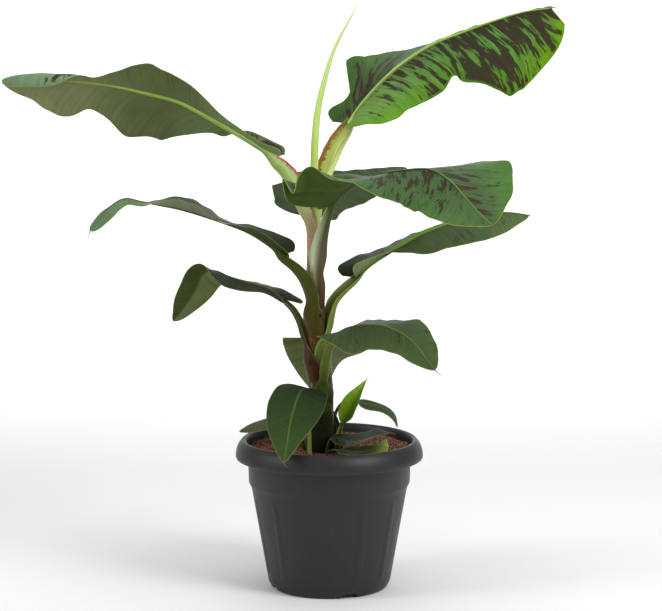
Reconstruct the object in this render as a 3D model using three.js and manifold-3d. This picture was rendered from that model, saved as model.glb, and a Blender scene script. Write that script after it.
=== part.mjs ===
// A young banana plant in a round plastic pot, in millimetres with +Z up.
// The origin is the centre of the pot's flat underside, and the front of the plant faces -Y.
// A leaf is a thin blade on a petiole. No two pieces cross: a later piece is cut clear of the earlier ones.
import * as THREE from 'three';
import { mergeVertices } from 'three/addons/utils/BufferGeometryUtils.js';
import Module from 'manifold-3d';

const wasm = await Module();
wasm.setup();

// General sizes
const gap = 0.3; // clearance between two pieces that touch
const bladeThickness = 3;
const rowLength = 46; // length of one row of a blade along its midrib
const fewestRows = 3;
const bladeColumns = 3; // columns of each half of a blade
const narrowest = 2.5; // half width left at the ends of a blade
const seamShare = 0.0015; // share of a blade's length kept free where it is split at a bend

const turns = 36; // steps round the pot and the soil

// Pot
const potHeight = 240;
const potRimRadius = 150;
const potRimDrop = 27; // height of the rolled rim's outer curve
const potRimRound = 12; // how far that curve runs in
const potRimSteps = 5;
const potFloor = 9;
const potFoot = [99, 15]; // radius and height where the lower wall starts
const potShoulder = [125, 164]; // and where it ends
const potRib = [10, 3, 118]; // width, depth and length of a stiffening rib
const potRibMiddle = [111.2, 88]; // radius and height of its middle
const potRibAngles = [-73, -45, 26, 55, 107, 135, -154, -125]; // degrees from the front
const potNotch = [26, 14, 12]; // width, depth and height of a drain notch, half of it below the foot
const potNotchRadius = 98;
const potNotchAngles = [20, 110, 200, 290];

// Soil
const soilLevel = 217;
const soilRings = 4;
const soilHeap = { x: 98, y: -12, height: 7, spread: 30 };

// Pseudostem: the flat cut stands on the soil
const stemFoot = [-13, 12];
const stemSeat = 27; // the soil is level within this radius of the foot
const stemPath = [
  [-13, 12, soilLevel + gap],
  [-14, 10, 325],
  [-16, 10, 382],
  [-21, 9, 430],
  [-23, 8, 463],
  [-24, 8, 503],
  [-25, 8, 543],
  [-27, 7, 583],
  [-29, 6, 606],
];
const stemRadii = [20, 20, 19.5, 18, 17, 16, 14, 12.5, 10.5];

const spearPath = [
  [-24, 9, 598], [-24, 9, 630], [-24, 10, 675], [-22, 12, 729], [-17, 14, 771], [-8, 16, 809],
  [3, 18, 847], [17, 20, 879], [31, 21, 904], [40, 22, 921], [45, 22, 936],
];
const spearRadii = [6, 6, 5.6, 5, 4.2, 3.2, 1.4];

// Finishes: colour and roughness
const finish = {
  pot: [0x38383a, 0.5],
  soil: [0x4c2c1f, 0.95],
  stem: [0x5b3f2a, 0.55],
  petiole: [0x7f9a45, 0.5],
  leaf: [0x35602f, 0.45],
  young: [0x86b53c, 0.5],
};

/*
 * Leaves, from the base of the blade. Angles are degrees, and lists are spread evenly from base to tip.
 * petiole: its path up to the blade, and radii: its radii. midrib: points of the blade's middle line.
 * roll turns the blade about its midrib. width, lift, curl and sweep belong to one half of the blade:
 * its width, its slope at the midrib, its bend towards the margin and the slide of its margin along the
 * midrib. corners: [place, before, after, height] of a pointed corner of its outline. folds:
 * [place, spread, height] of a ripple at the margin. base and tip are the rounded shares.
 */
const leaves = [
  {
    name: 'high_left',
    petiole: [[-30, 4, 588], [-37, -1, 606], [-47, -8, 634], [-64, -17, 668], [-88, -26, 692]],
    radii: [11, 13.5, 14.5, 13.5, 11.5],
    midrib: [
      [-88, -26, 692], [-117, -38, 712], [-145, -45, 730], [-185, -55, 754], [-232, -65, 780],
      [-281, -72, 794], [-328, -78, 805], [-376, -82, 812], [-443, -85, 817], [-502, -85, 814],
    ],
    roll: [5, 25, 60, 68, 66, 62, 60, 56, 50, 45],
    base: 0.03,
    tip: 0.05,
    left: {
      width: [20, 11, 12, 15, 24, 34, 44, 52, 31, 13, 36, 46, 42, 32],
      lift: [75, 30, 4, 5, 5, 5, 6, 13, 15],
      curl: [0, 0, 0, 0, 0, 0, 0, -10, -20, -30, -35, -45, -100, -170, -188, -188, -188],
      sweep: [-12, 0, 0, 0, 0, 0, 0, 0, 0, 0],
    },
    right: {
      width: [30, 25, 27, 20, 42, 65, 66, 75, 56, 45, 66, 60, 36, 16],
      lift: [75, 78, 70, 22, 4, 0, 0, 0, 0, 0, 0, 0, 0, 0, 0, 0, 0],
      curl: [0, 0, 0, -10, 0, 10, 0],
      sweep: [-24, -4, 0, 0, 0, 0, 0, 0, 0, 0],
    },
    splits: [],
  },
  {
    name: 'high_right',
    petiole: [[-22, 14, 585], [-21, 16, 615], [-17, 16, 642], [-6, 14, 676], [9, 10, 711], [30, 5, 743]],
    radii: [10, 13, 15, 16, 15, 12],
    midrib: [
      [30, 5, 743], [51, 0, 774], [82, -10, 810], [115, -22, 839], [160, -45, 869], [207, -72, 889],
      [252, -98, 906], [296, -120, 920], [335, -135, 926],
    ],
    roll: [10, 12, 16, 22, 28, 30, 30, 30, 30, 30, 30, 30, 28],
    base: 0.05,
    tip: 0.1,
    left: {
      width: [86, 46, 88, 104, 98, 90, 86, 82, 78, 72, 66, 56, 44],
      lift: [38, 30, 24, 2, -20, -27, -30, -31, -32, -33, -34, -34, -30],
      curl: [0],
      sweep: [-26, -6, 0, -6, 0, 0, 0, 0, 0, 0, 0, 0, 0],
      corners: [[0.135, 0.04, 0.06, 44]],
    },
    right: {
      width: [14, 70, 84, 76, 76, 78, 62, 76, 90, 112, 118, 107, 92],
      lift: [-10, -20, -30, -36, -38, -38, -38, -38, -38, -38, -36, -34, -30],
      curl: [0],
      sweep: [-12, 0, 0, 0, 0, 10, 14, 0, 0, 0, 0, 0, 36],
      corners: [[0.775, 0.04, 0.04, 7]],
    },
    splits: [],
  },
  {
    name: 'centre',
    petiole: [[-20, -2, 485], [-19, -12, 520], [-15, -19, 558], [-7, -30, 590], [1, -42, 616]],
    radii: [10, 14, 12, 9, 7],
    midrib: [
      [1, -42, 616], [14, -58, 632], [29, -80, 647], [47, -108, 661], [74, -148, 675], [106, -188, 685],
      [149, -225, 690], [178, -250, 675], [197, -268, 655], [217, -284, 633], [238, -298, 615],
    ],
    roll: [0, 0, 0, 5, 10, 12, 12, 12, 12, 12],
    base: 0.05,
    tip: 0.14,
    left: {
      width: [30, 44, 42, 73, 82, 88, 104, 100, 77, 50],
      lift: [90, 74, 16, -6, -13, -12, 4, 8, 0],
      curl: [0],
      sweep: [-40, -45, -38, -48, -16, 0, 4, 8, 8, 0],
      corners: [[0.755, 0.06, 0.05, 14]],
    },
    right: {
      width: [80, 105, 84, 62, 62, 74, 77, 70, 58, 35],
      lift: [-6, 5, 5, 2, -16, -26, -31, -18, 0],
      curl: [0],
      sweep: [0],
      folds: [[0.05, 0.05, 8], [0.115, 0.018, 26], [0.15, 0.02, -14], [0.22, 0.06, 27]],
    },
    splits: [0.47],
  },
  {
    name: 'rear',
    petiole: [[-23, 22, 540], [-23, 34, 566], [-20, 45, 596]],
    radii: [8, 9, 7],
    midrib: [
      [-20, 45, 596], [-7, 90, 608], [18, 140, 621], [54, 190, 635], [93, 235, 646], [128, 270, 653],
    ],
    roll: [0],
    base: 0.1,
    tip: 0.3,
    left: {
      width: [64, 84, 83, 54, 28, 18],
      lift: [9, 19, 12, 9],
      curl: [0],
      sweep: [-25, -5, 0, 0, 0, 0],
      corners: [[0.19, 0.07, 0.05, 12]],
    },
    right: {
      width: [34, 32, 44, 46, 40, 28],
      lift: [-22, -20, -10, -6],
      curl: [0],
      sweep: [-14, -5, 0, 0, 0, 0],
    },
    splits: [],
  },
  {
    name: 'mid_left',
    petiole: [
      [-26, 2, 440], [-26, -4, 470], [-33, -9, 495], [-44, -15, 513], [-59, -20, 528], [-73, -25, 538],
    ],
    radii: [11, 13, 13.5, 13, 12, 11.5],
    midrib: [
      [-73, -25, 538], [-98, -34, 559], [-130, -42, 579], [-178, -54, 598], [-227, -64, 614],
      [-262, -72, 622], [-291, -78, 628], [-318, -84, 633], [-344, -90, 616], [-369, -94, 584],
    ],
    roll: [5],
    base: 0.05,
    tip: 0.1,
    left: {
      width: [14, 28, 50, 52, 52, 44, 21, 26, 20],
      lift: [22, 8, 0, -8, 8, 6, -30, -35, -35],
      curl: [0],
      sweep: [-14, 0, 0, 0, 0, 0, 0, 0, 0],
    },
    right: {
      width: [42, 31, 44, 51, 50, 50, 30, 24, 22],
      lift: [70, 42, 12, 22, 29, 12, -5, 5, 22],
      curl: [0],
      sweep: [-22, 0, 0, 0, 0, 0, 0, 0, 0],
    },
    splits: [0.74],
  },
  {
    name: 'low_left',
    petiole: [[-26, 8, 372], [-37, 13, 400], [-45, 19, 424], [-57, 28, 445], [-73, 40, 459]],
    radii: [7, 8, 7, 6.5, 6],
    midrib: [
      [-73, 40, 459], [-98, 63, 474], [-129, 95, 479], [-159, 122, 484], [-183, 142, 491],
      [-201, 154, 491], [-212, 160, 480], [-221, 162, 460], [-232, 162, 441], [-247, 160, 420],
      [-259, 158, 407],
    ],
    roll: [0, 0, 0, 10, 40, 45, 45, 45],
    base: 0.05,
    tip: 0.15,
    left: {
      width: [6, 12, 16, 20, 24, 26, 28, 25, 14],
      lift: [-10, -40, -55, -40, 0, 0, 0],
      curl: [0],
      sweep: [-22, -4, 0, 0, 0, 0, 0, 0, 0],
    },
    right: {
      width: [26, 22, 24, 28, 32, 40, 33, 20, 12],
      lift: [26, -4, -6, -4, 0, 0, 0],
      curl: [0],
      sweep: [-38, -4, 0, 0, 0, 0, 0, 0, 0],
    },
    splits: [0.58],
  },
  {
    name: 'mid_right',
    petiole: [[-16, 4, 395], [-6, 4, 412], [-1, 8, 440], [5, 12, 460], [19, 18, 477], [42, 28, 496]],
    radii: [8, 10.5, 10.5, 10, 9.5, 9],
    midrib: [
      [42, 28, 496], [66, 38, 516], [98, 52, 535], [132, 66, 554], [153, 74, 564], [189, 90, 576],
      [237, 108, 589], [287, 122, 591], [327, 130, 586],
    ],
    roll: [20, 20, 25, 30, 30, 30, 30],
    base: 0.05,
    tip: 0.15,
    left: {
      width: [54, 62, 56, 50, 46, 44, 42, 36, 22],
      lift: [0, -20, -32, -40, -41, -40, -38],
      curl: [0],
      sweep: [-16, 0, 0, 0, 0, 0, 0, 0, 0],
    },
    right: {
      width: [24, 12, 18, 36, 39, 44, 45, 34, 17],
      lift: [100, 94, 60, 5, -22, -34, -35, -35, -35, -35, -35, -33, -30],
      curl: [0],
      sweep: [0],
    },
    splits: [],
  },
  {
    name: 'low_right',
    petiole: [[-12, 0, 322], [-9, -14, 340], [-6, -28, 366], [0, -42, 393], [11, -55, 413]],
    radii: [6, 8, 7.5, 6.5, 5.5],
    midrib: [
      [11, -55, 413], [18, -75, 424], [32, -100, 435], [53, -128, 443], [83, -152, 445],
      [111, -168, 435], [130, -178, 421], [145, -186, 402], [160, -192, 383],
    ],
    roll: [5, 10, 15, 10, 10],
    base: 0.06,
    tip: 0.14,
    left: {
      width: [50, 50, 48, 50, 54, 51, 41, 28],
      lift: [16, 12, 0, -4, 8, 6, 0],
      curl: [0],
      sweep: [-32, -18, -6, 6, 12, 12, 6, 0],
      corners: [[0.6, 0.08, 0.1, 11]],
    },
    right: {
      width: [30, 45, 50, 60, 50, 45, 34, 18],
      lift: [10, -10, -36, -34, -28, -20, -10],
      curl: [0],
      sweep: [0],
    },
    splits: [0.5],
  },
  {
    name: 'low_rear',
    petiole: [[-17, 22, 350], [-18, 38, 380], [-18, 58, 394]],
    radii: [6, 6.5, 5.5],
    midrib: [[-18, 58, 394], [-18, 85, 386], [-19, 112, 341], [-17, 120, 289]],
    roll: [0],
    base: 0.06,
    tip: 0.3,
    left: { width: [56, 58, 48, 30, 14], lift: [1, -5, -10], curl: [0], sweep: [0] },
    right: { width: [66, 82, 42, 24, 12], lift: [-10], curl: [0], sweep: [0] },
    splits: [0.36],
  },
  {
    name: 'front',
    petiole: [[-18, -4, 296], [-24, -20, 316], [-34, -42, 329]],
    radii: [4.5, 5, 4],
    midrib: [
      [-34, -42, 329], [-44, -68, 329], [-53, -95, 312], [-61, -122, 284], [-65, -142, 258],
      [-70, -158, 234],
    ],
    roll: [-10],
    base: 0.1,
    tip: 0.3,
    left: { width: [34, 45, 46, 36, 20, 10], lift: [6, -3, -10], curl: [0], sweep: [0] },
    right: { width: [24, 39, 43, 38, 26, 16], lift: [4, -3, -10], curl: [0], sweep: [0] },
    splits: [0.4],
  },
  {
    name: 'small_left',
    petiole: [[-38, 10, 212], [-46, 11, 240], [-57, 12, 257], [-71, 14, 267]],
    radii: [3, 3, 2.6, 2.2],
    midrib: [[-71, 14, 267], [-99, 20, 259], [-125, 25, 252], [-145, 28, 246]],
    roll: [-22],
    base: 0.2,
    tip: 0.4,
    left: { width: [12, 16, 16, 10], lift: [0], curl: [0], sweep: [0] },
    right: { width: [14, 20, 18, 10], lift: [0], curl: [0], sweep: [0] },
    splits: [],
  },
  {
    name: 'sucker_right',
    petiole: [[10, 28, 212], [9, 32, 245], [8, 35, 268], [18, 39, 288], [32, 43, 293], [46, 46, 290]],
    radii: [3.4, 3.2, 3, 2.8, 2.6, 2.4],
    midrib: [[46, 46, 290], [72, 54, 284], [94, 60, 274], [106, 63, 261], [111, 64, 246]],
    roll: [25],
    base: 0.15,
    tip: 0.35,
    left: { width: [10, 10, 9, 10, 6], lift: [10], curl: [0], sweep: [0] },
    right: { width: [12, 14, 11, 11, 8], lift: [-10], curl: [0], sweep: [0] },
    splits: [],
  },
  {
    name: 'sucker_new',
    petiole: [[13, 18, 212], [14, 19, 238], [20, 20, 260]],
    radii: [4.6, 4.2, 3.4],
    midrib: [[20, 20, 260], [31, 20, 279], [42, 18, 300], [51, 16, 317], [59, 15, 332]],
    roll: [0],
    up: [-0.4, -0.9, 0.2],
    base: 0.2,
    tip: 0.5,
    left: { width: [9, 17, 18, 12, 6], lift: [15], curl: [30], sweep: [0] },
    right: { width: [10, 22, 19, 12, 6], lift: [25], curl: [40], sweep: [0] },
    splits: [],
    young: true,
  },
  {
    name: 'soil_right',
    petiole: [[-4, -14, 212], [-3, -12, 230], [3, -10, 246]],
    radii: [3.6, 3.4, 3],
    midrib: [[3, -10, 246], [25, -18, 241], [47, -24, 242], [71, -30, 251], [96, -36, 256]],
    roll: [10],
    base: 0.2,
    tip: 0.4,
    left: { width: [16, 24, 26, 22, 10], lift: [5], curl: [0], sweep: [0] },
    right: { width: [18, 27, 26, 21, 10], lift: [4], curl: [0], sweep: [0] },
    splits: [],
  },
  {
    name: 'soil_front',
    petiole: [[-6, -26, 210], [0, -32, 226], [14, -46, 231]],
    radii: [3.2, 3, 2.6],
    midrib: [[14, -46, 231], [36, -62, 231], [61, -74, 234], [79, -82, 242], [89, -86, 256]],
    roll: [4],
    base: 0.2,
    tip: 0.12,
    left: { width: [12, 16, 20, 16, 6], lift: [10, 15, 25], curl: [0], sweep: [0] },
    right: { width: [14, 20, 22, 22, 20], lift: [0, 0, -10, -35, -50], curl: [0], sweep: [0] },
    splits: [],
    young: true,
  },
];

// Small stalks that carry no blade
const stalks = [
  { name: 'stub', path: [[-31, -25, 210], [-31.5, -25, 235], [-31, -25, 262]], radii: [3.4, 3, 2.6] },
  {
    name: 'sucker_stalk',
    path: [[20, 26, 210], [17, 30, 245], [11, 28, 268], [3, 27, 284]],
    radii: [3, 2.8, 2.6, 1.6],
  },
];

const radians = THREE.MathUtils.degToRad;
const vector = (p) => new THREE.Vector3(...p);

// The value at share s of a smooth curve through evenly spaced values.
function along(values, s) {
  const last = values.length - 1;
  if (last === 0) {
    return values[0];
  }
  const x = s * last;
  const i = Math.min(Math.floor(x), last - 1);
  const t = x - i;
  const b = values[i];
  const c = values[i + 1];
  const a = i > 0 ? values[i - 1] : 2 * b - c;
  const d = i + 2 <= last ? values[i + 2] : 2 * c - b;
  const square = 2 * a - 5 * b + 4 * c - d;
  const cube = 3 * b - a - 3 * c + d;
  return 0.5 * (2 * b + (c - a) * t + square * t ** 2 + cube * t ** 3);
}

// Points spread evenly along the smooth curve through a path, with tangents and untwisted normals.
function spine(path, shares, up) {
  const curve = new THREE.CatmullRomCurve3(path.map(vector), false, 'catmullrom', 0.5);
  curve.arcLengthDivisions = 400;
  const steps = 60;
  const points = curve.getSpacedPoints(steps);
  const tangents = points.map((p, i) => {
    const before = points[Math.max(i - 1, 0)];
    const after = points[Math.min(i + 1, steps)];
    return after.clone().sub(before).normalize();
  });
  const normals = [];
  let carried = up.clone();
  tangents.forEach((t) => {
    carried = carried.clone().addScaledVector(t, -carried.dot(t)).normalize();
    normals.push(carried);
  });
  return shares.map((s) => {
    const x = s * steps;
    const i = Math.min(Math.floor(x), steps - 1);
    const mix = (list) => list[i].clone().lerp(list[i + 1], x - i);
    const tangent = mix(tangents).normalize();
    return { point: mix(points), tangent, normal: mix(normals).normalize() };
  });
}

// A quarter circle's rise from 0 to 1, for rounded ends.
function rounded(x) {
  const t = 1 - THREE.MathUtils.clamp(x, 0, 1);
  return Math.sqrt(1 - t * t);
}

// One cross-section of one half of a blade, from the midrib out. The slope starts at lift and turns by curl.
function halfSection(leaf, half, sign, s, frame) {
  const ends = rounded(s / leaf.base) * rounded((1 - s) / leaf.tip);
  let width = along(half.width, s);
  for (const [place, before, after, more] of half.corners ?? []) {
    width += more * Math.max(s < place ? 1 - (place - s) / before : 1 - (s - place) / after, 0);
  }
  width = Math.max(width * ends, narrowest);
  const lift = radians(along(half.lift, s));
  const turn = radians(along(half.curl, s)) || 1e-4;
  const sweep = along(half.sweep, s) * ends ** 0.35;
  const roll = radians(along(leaf.roll, s));
  const side = new THREE.Vector3().crossVectors(frame.tangent, frame.normal);
  const normal = frame.normal.clone().multiplyScalar(Math.cos(roll)).addScaledVector(side, Math.sin(roll));
  side.crossVectors(frame.tangent, normal);
  const section = [];
  for (let k = 1; k <= bladeColumns; k += 1) {
    const f = k / bladeColumns;
    const slope = lift + turn * f;
    let ripple = 0;
    for (const [place, spread, height] of half.folds ?? []) {
      ripple += height * f * f * Math.exp(-(((s - place) / spread) ** 2));
    }
    const out = (width * (Math.sin(slope) - Math.sin(lift))) / turn - Math.sin(slope) * ripple;
    const rise = (-width * (Math.cos(slope) - Math.cos(lift))) / turn + Math.cos(slope) * ripple;
    const point = frame.point.clone();
    point.addScaledVector(side, sign * out);
    point.addScaledVector(normal, rise);
    point.addScaledVector(frame.tangent, sweep * f ** 1.5);
    section.push(point);
  }
  return section;
}

function evenShares(leaf, from, to) {
  const length = new THREE.CatmullRomCurve3(leaf.midrib.map(vector)).getLength();
  const rows = Math.max(Math.round((length * (to - from)) / rowLength), fewestRows);
  return Array.from({ length: rows + 1 }, (_, i) => from + ((to - from) * i) / rows);
}

// The middle surface of a blade at some shares of its length, as rows of points from left to right.
function bladeSheet(leaf, shares) {
  const frames = spine(leaf.midrib, shares, vector(leaf.up ?? [0, 0, 1]));
  return frames.map((frame, i) => {
    const left = halfSection(leaf, leaf.left, -1, shares[i], frame).reverse();
    const right = halfSection(leaf, leaf.right, 1, shares[i], frame);
    return [...left, frame.point, ...right];
  });
}

function indexed(points, faces) {
  const geometry = new THREE.BufferGeometry();
  const positions = points.flatMap((p) => [p.x, p.y, p.z]);
  geometry.setAttribute('position', new THREE.Float32BufferAttribute(positions, 3));
  geometry.setIndex(faces.flat());
  return geometry;
}

// A sheet of rows of points made a closed shell of the given thickness.
function shell(rows, thickness) {
  const high = rows.length;
  const wide = rows[0].length;
  const at = (i, j) => rows[THREE.MathUtils.clamp(i, 0, high - 1)][THREE.MathUtils.clamp(j, 0, wide - 1)];
  const points = [];
  for (const side of [0.5, -0.5]) {
    for (let i = 0; i < high; i += 1) {
      for (let j = 0; j < wide; j += 1) {
        const down = at(i + 1, j).clone().sub(at(i - 1, j));
        const across = at(i, j + 1).clone().sub(at(i, j - 1));
        const normal = across.cross(down).normalize();
        points.push(at(i, j).clone().addScaledVector(normal, side * thickness));
      }
    }
  }
  const faces = [];
  const quad = (a, b, c, d) => faces.push([a, b, c], [a, c, d]);
  const top = (i, j) => i * wide + j;
  const bottom = (i, j) => high * wide + i * wide + j;
  for (let i = 0; i + 1 < high; i += 1) {
    for (let j = 0; j + 1 < wide; j += 1) {
      quad(top(i, j), top(i, j + 1), top(i + 1, j + 1), top(i + 1, j));
      quad(bottom(i, j), bottom(i + 1, j), bottom(i + 1, j + 1), bottom(i, j + 1));
    }
    quad(top(i, 0), top(i + 1, 0), bottom(i + 1, 0), bottom(i, 0));
    quad(top(i + 1, wide - 1), top(i, wide - 1), bottom(i, wide - 1), bottom(i + 1, wide - 1));
  }
  for (let j = 0; j + 1 < wide; j += 1) {
    quad(top(0, j + 1), top(0, j), bottom(0, j), bottom(0, j + 1));
    quad(top(high - 1, j), top(high - 1, j + 1), bottom(high - 1, j + 1), bottom(high - 1, j));
  }
  return indexed(points, faces);
}

// Rings of points made a closed solid: walls between neighbouring rings and a fan over each end.
function skin(rings) {
  const count = rings[0].length;
  const points = rings.flat();
  const faces = [];
  for (let i = 0; i + 1 < rings.length; i += 1) {
    for (let j = 0; j < count; j += 1) {
      const a = i * count + j;
      const b = i * count + ((j + 1) % count);
      faces.push([a, b, b + count], [a, b + count, a + count]);
    }
  }
  const centre = (ring) => ring.reduce((sum, p) => sum.add(p), new THREE.Vector3()).divideScalar(count);
  const start = points.push(centre(rings[0])) - 1;
  const end = points.push(centre(rings.at(-1))) - 1;
  const lastRing = (rings.length - 1) * count;
  for (let j = 0; j < count; j += 1) {
    const next = (j + 1) % count;
    faces.push([start, next, j], [end, lastRing + j, lastRing + next]);
  }
  return indexed(points, faces);
}

// A tapering round limb along a path. grow widens and lengthens it, for cutting clearance.
function limb(path, radii, sides, steps, grow = 0) {
  const shares = Array.from({ length: steps + 1 }, (_, i) => i / steps);
  const frames = spine(path, shares, new THREE.Vector3(0.3, -1, 0.2));
  const rings = frames.map((frame, i) => {
    const side = new THREE.Vector3().crossVectors(frame.tangent, frame.normal);
    const radius = along(radii, shares[i]) + grow;
    const shift = i === 0 ? -grow : i === steps ? grow : 0;
    return Array.from({ length: sides }, (_, k) => {
      const angle = (2 * Math.PI * k) / sides;
      const point = frame.point.clone().addScaledVector(frame.tangent, shift);
      point.addScaledVector(frame.normal, radius * Math.cos(angle));
      return point.addScaledVector(side, radius * Math.sin(angle));
    });
  });
  return skin(rings);
}

function solidOf(geometry) {
  const { Manifold, Mesh } = wasm;
  return new Manifold(new Mesh({
    numProp: 3,
    vertProperties: Float32Array.from(geometry.attributes.position.array),
    triVerts: Uint32Array.from(geometry.index.array),
  }));
}

function merged(geometry) {
  geometry.deleteAttribute('normal');
  geometry.deleteAttribute('uv');
  return mergeVertices(geometry, 1e-4);
}

function geometryOf(solid) {
  const mesh = solid.getMesh();
  const geometry = new THREE.BufferGeometry();
  geometry.setAttribute('position', new THREE.BufferAttribute(Float32Array.from(mesh.vertProperties), 3));
  geometry.setIndex(new THREE.BufferAttribute(Uint32Array.from(mesh.triVerts), 1));
  geometry.computeVertexNormals();
  return geometry;
}

const group = new THREE.Group();
const cutters = [];

// Adds a named piece, cut clear of all the cutters before it, and keeps its largest body.
function place(name, geometry, [colour, roughness], cutter) {
  let solid = solidOf(geometry);
  for (const earlier of cutters) {
    solid = solid.subtract(earlier);
  }
  const [body] = solid.decompose().sort((a, b) => b.volume() - a.volume());
  const material = new THREE.MeshStandardMaterial({ color: colour, roughness, metalness: 0 });
  const mesh = new THREE.Mesh(geometryOf(body), material);
  mesh.name = name;
  group.add(mesh);
  if (cutter) {
    cutters.push(solidOf(cutter));
  }
}

// Adds a limb, which also cuts the pieces after it.
function placeLimb(name, look, path, radii, sides, steps) {
  place(name, limb(path, radii, sides, steps), look, limb(path, radii, sides, steps, gap));
}

// Pot: the outer profile up from the foot, over the rolled rim and down the inside.
const potInner = [
  [133.6, 238.6], [132.4, 231], [127.4, 209], [126.4, 172], [121.4, 164], [95.4, 16], [93.4, potFloor],
];

function potGeometry() {
  const rim = Array.from({ length: potRimSteps + 1 }, (_, i) => {
    const angle = (i / potRimSteps) * (Math.PI / 2);
    const radius = potRimRadius - potRimRound * (1 - Math.cos(angle));
    return [radius, potHeight - potRimDrop * (1 - Math.sin(angle))];
  });
  const profile = [
    [0, 0], [92, 0], [96.6, 6], potFoot, potShoulder, [129, 171], [130, 209], [148, 209],
    ...rim, ...potInner, [0, potFloor],
  ];
  const lathe = new THREE.LatheGeometry(profile.map(([r, z]) => new THREE.Vector2(r, z)), turns);
  lathe.rotateX(Math.PI / 2);
  let solid = solidOf(merged(lathe));
  const ribLean = Math.atan2(potShoulder[0] - potFoot[0], potShoulder[1] - potFoot[1]);
  for (const angle of potRibAngles) {
    const rib = new THREE.BoxGeometry(...potRib);
    rib.rotateX(ribLean);
    rib.translate(0, -potRibMiddle[0], potRibMiddle[1]);
    rib.rotateZ(radians(angle));
    solid = solid.add(solidOf(merged(rib)));
  }
  for (const angle of potNotchAngles) {
    const notch = new THREE.BoxGeometry(...potNotch);
    notch.translate(0, -potNotchRadius, 0);
    notch.rotateZ(radians(angle));
    solid = solid.subtract(solidOf(merged(notch)));
  }
  return geometryOf(solid);
}

// Soil: level round the stem's foot, gently lumpy elsewhere, with a low heap on the right.
function soilHeight(x, y) {
  const away = Math.hypot(x - stemFoot[0], y - stemFoot[1]);
  const rough = THREE.MathUtils.smoothstep(away, stemSeat, stemSeat + 15);
  const lumps = 1.6 * Math.sin(x / 13 + 1) * Math.cos(y / 11) + 1.1 * Math.sin((x + y) / 7);
  const fromHeap = Math.hypot(x - soilHeap.x, y - soilHeap.y) / soilHeap.spread;
  const heap = soilHeap.height * Math.exp(-(fromHeap ** 2));
  return soilLevel + rough * (lumps + heap);
}

function soilRing(radius, height, grow) {
  return Array.from({ length: turns }, (_, k) => {
    const angle = (2 * Math.PI * k) / turns;
    const x = radius * Math.cos(angle);
    const y = radius * Math.sin(angle);
    return new THREE.Vector3(x, y, (height ?? soilHeight(x, y)) + grow);
  });
}

function soilGeometry(grow = 0) {
  const wallRadius = 127.9;
  const rings = [
    soilRing(92.8, potFloor + gap, 0),
    soilRing(95, 16.3, 0),
    soilRing(120.9, 164.3, 0),
    soilRing(126, 172.6, 0),
    soilRing(127, 209, 0),
  ];
  for (let i = soilRings; i >= 1; i -= 1) {
    rings.push(soilRing((wallRadius * i) / soilRings, undefined, grow));
  }
  return skin(rings);
}

place('pot', potGeometry(), finish.pot);
place('soil', soilGeometry(), finish.soil, soilGeometry(gap));
placeLimb('pseudostem', finish.stem, stemPath, stemRadii, 14, 11);
placeLimb('spear_leaf', finish.young, spearPath, spearRadii, 8, 11);
for (const { name, petiole, radii } of leaves) {
  placeLimb(`petiole_${name}`, finish.petiole, petiole, radii, 7, petiole.length + 1);
}
for (const { name, path, radii } of stalks) {
  placeLimb(`stalk_${name}`, finish.petiole, path, radii, 7, path.length);
}
for (const leaf of leaves) {
  const cuts = [0, ...leaf.splits, 1];
  const colours = leaf.young ? finish.young : finish.leaf;
  for (let i = 0; i + 1 < cuts.length; i += 1) {
    const isLast = i + 2 === cuts.length;
    const suffix = cuts.length === 2 ? '' : i === 0 ? '_base' : '_tip';
    const shares = evenShares(leaf, cuts[i], cuts[i + 1]);
    const seam = isLast ? [] : [cuts[i + 1] + seamShare];
    const sheet = bladeSheet(leaf, shares);
    const cutter = shell(bladeSheet(leaf, [...shares, ...seam]), bladeThickness + 2 * gap);
    place(`blade_${leaf.name}${suffix}`, shell(sheet, bladeThickness), colours, cutter);
  }
}

export default group;
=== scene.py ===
# A young banana plant in its pot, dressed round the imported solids. Tables are in millimetres, meshes in metres.
import math

import bpy
import numpy as np
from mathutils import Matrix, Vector


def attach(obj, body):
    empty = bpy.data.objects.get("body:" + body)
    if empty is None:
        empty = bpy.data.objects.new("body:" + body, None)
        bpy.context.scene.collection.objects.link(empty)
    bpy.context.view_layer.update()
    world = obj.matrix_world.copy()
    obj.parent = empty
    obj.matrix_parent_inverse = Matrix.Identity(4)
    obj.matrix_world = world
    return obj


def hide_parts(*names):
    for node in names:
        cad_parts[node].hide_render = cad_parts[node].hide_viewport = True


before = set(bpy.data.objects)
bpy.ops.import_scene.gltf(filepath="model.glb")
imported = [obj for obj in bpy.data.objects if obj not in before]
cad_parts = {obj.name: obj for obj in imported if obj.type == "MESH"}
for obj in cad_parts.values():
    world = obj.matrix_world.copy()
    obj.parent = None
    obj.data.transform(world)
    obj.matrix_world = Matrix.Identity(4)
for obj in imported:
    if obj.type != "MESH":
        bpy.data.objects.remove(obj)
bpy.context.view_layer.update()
random = np.random.default_rng(41)
mm = 0.001
zAxis = np.array([0.0, 0.0, 1.0])


# shapes as functions of two parameters

def unit(vectors):
    # the same directions, each 1 long
    return vectors / np.maximum(np.linalg.norm(vectors, axis=-1, keepdims=True), 1e-12)


def squared(vector, axis):
    # the direction of what is left of a vector when its part along an axis is taken off
    return unit(vector - (vector @ axis) * axis)


def twisted(vectors, axes, angle):
    # vectors that stand square to their axes, turned round them: cos a times the vector and sin a times axis x
    # vector
    return np.cos(angle) * vectors + np.sin(angle) * np.cross(axes, vectors)


def ease(low, high, values):
    # 0 below low, 1 above high, and the smooth step 3t^2 - 2t^3 between
    t = np.clip((values - low) / (high - low), 0, 1)
    return t * t * (3 - 2 * t)


def rounded(x):
    # a quarter circle's rise from 0 to 1
    return np.sqrt(1 - (1 - np.clip(x, 0, 1)) ** 2)


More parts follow.
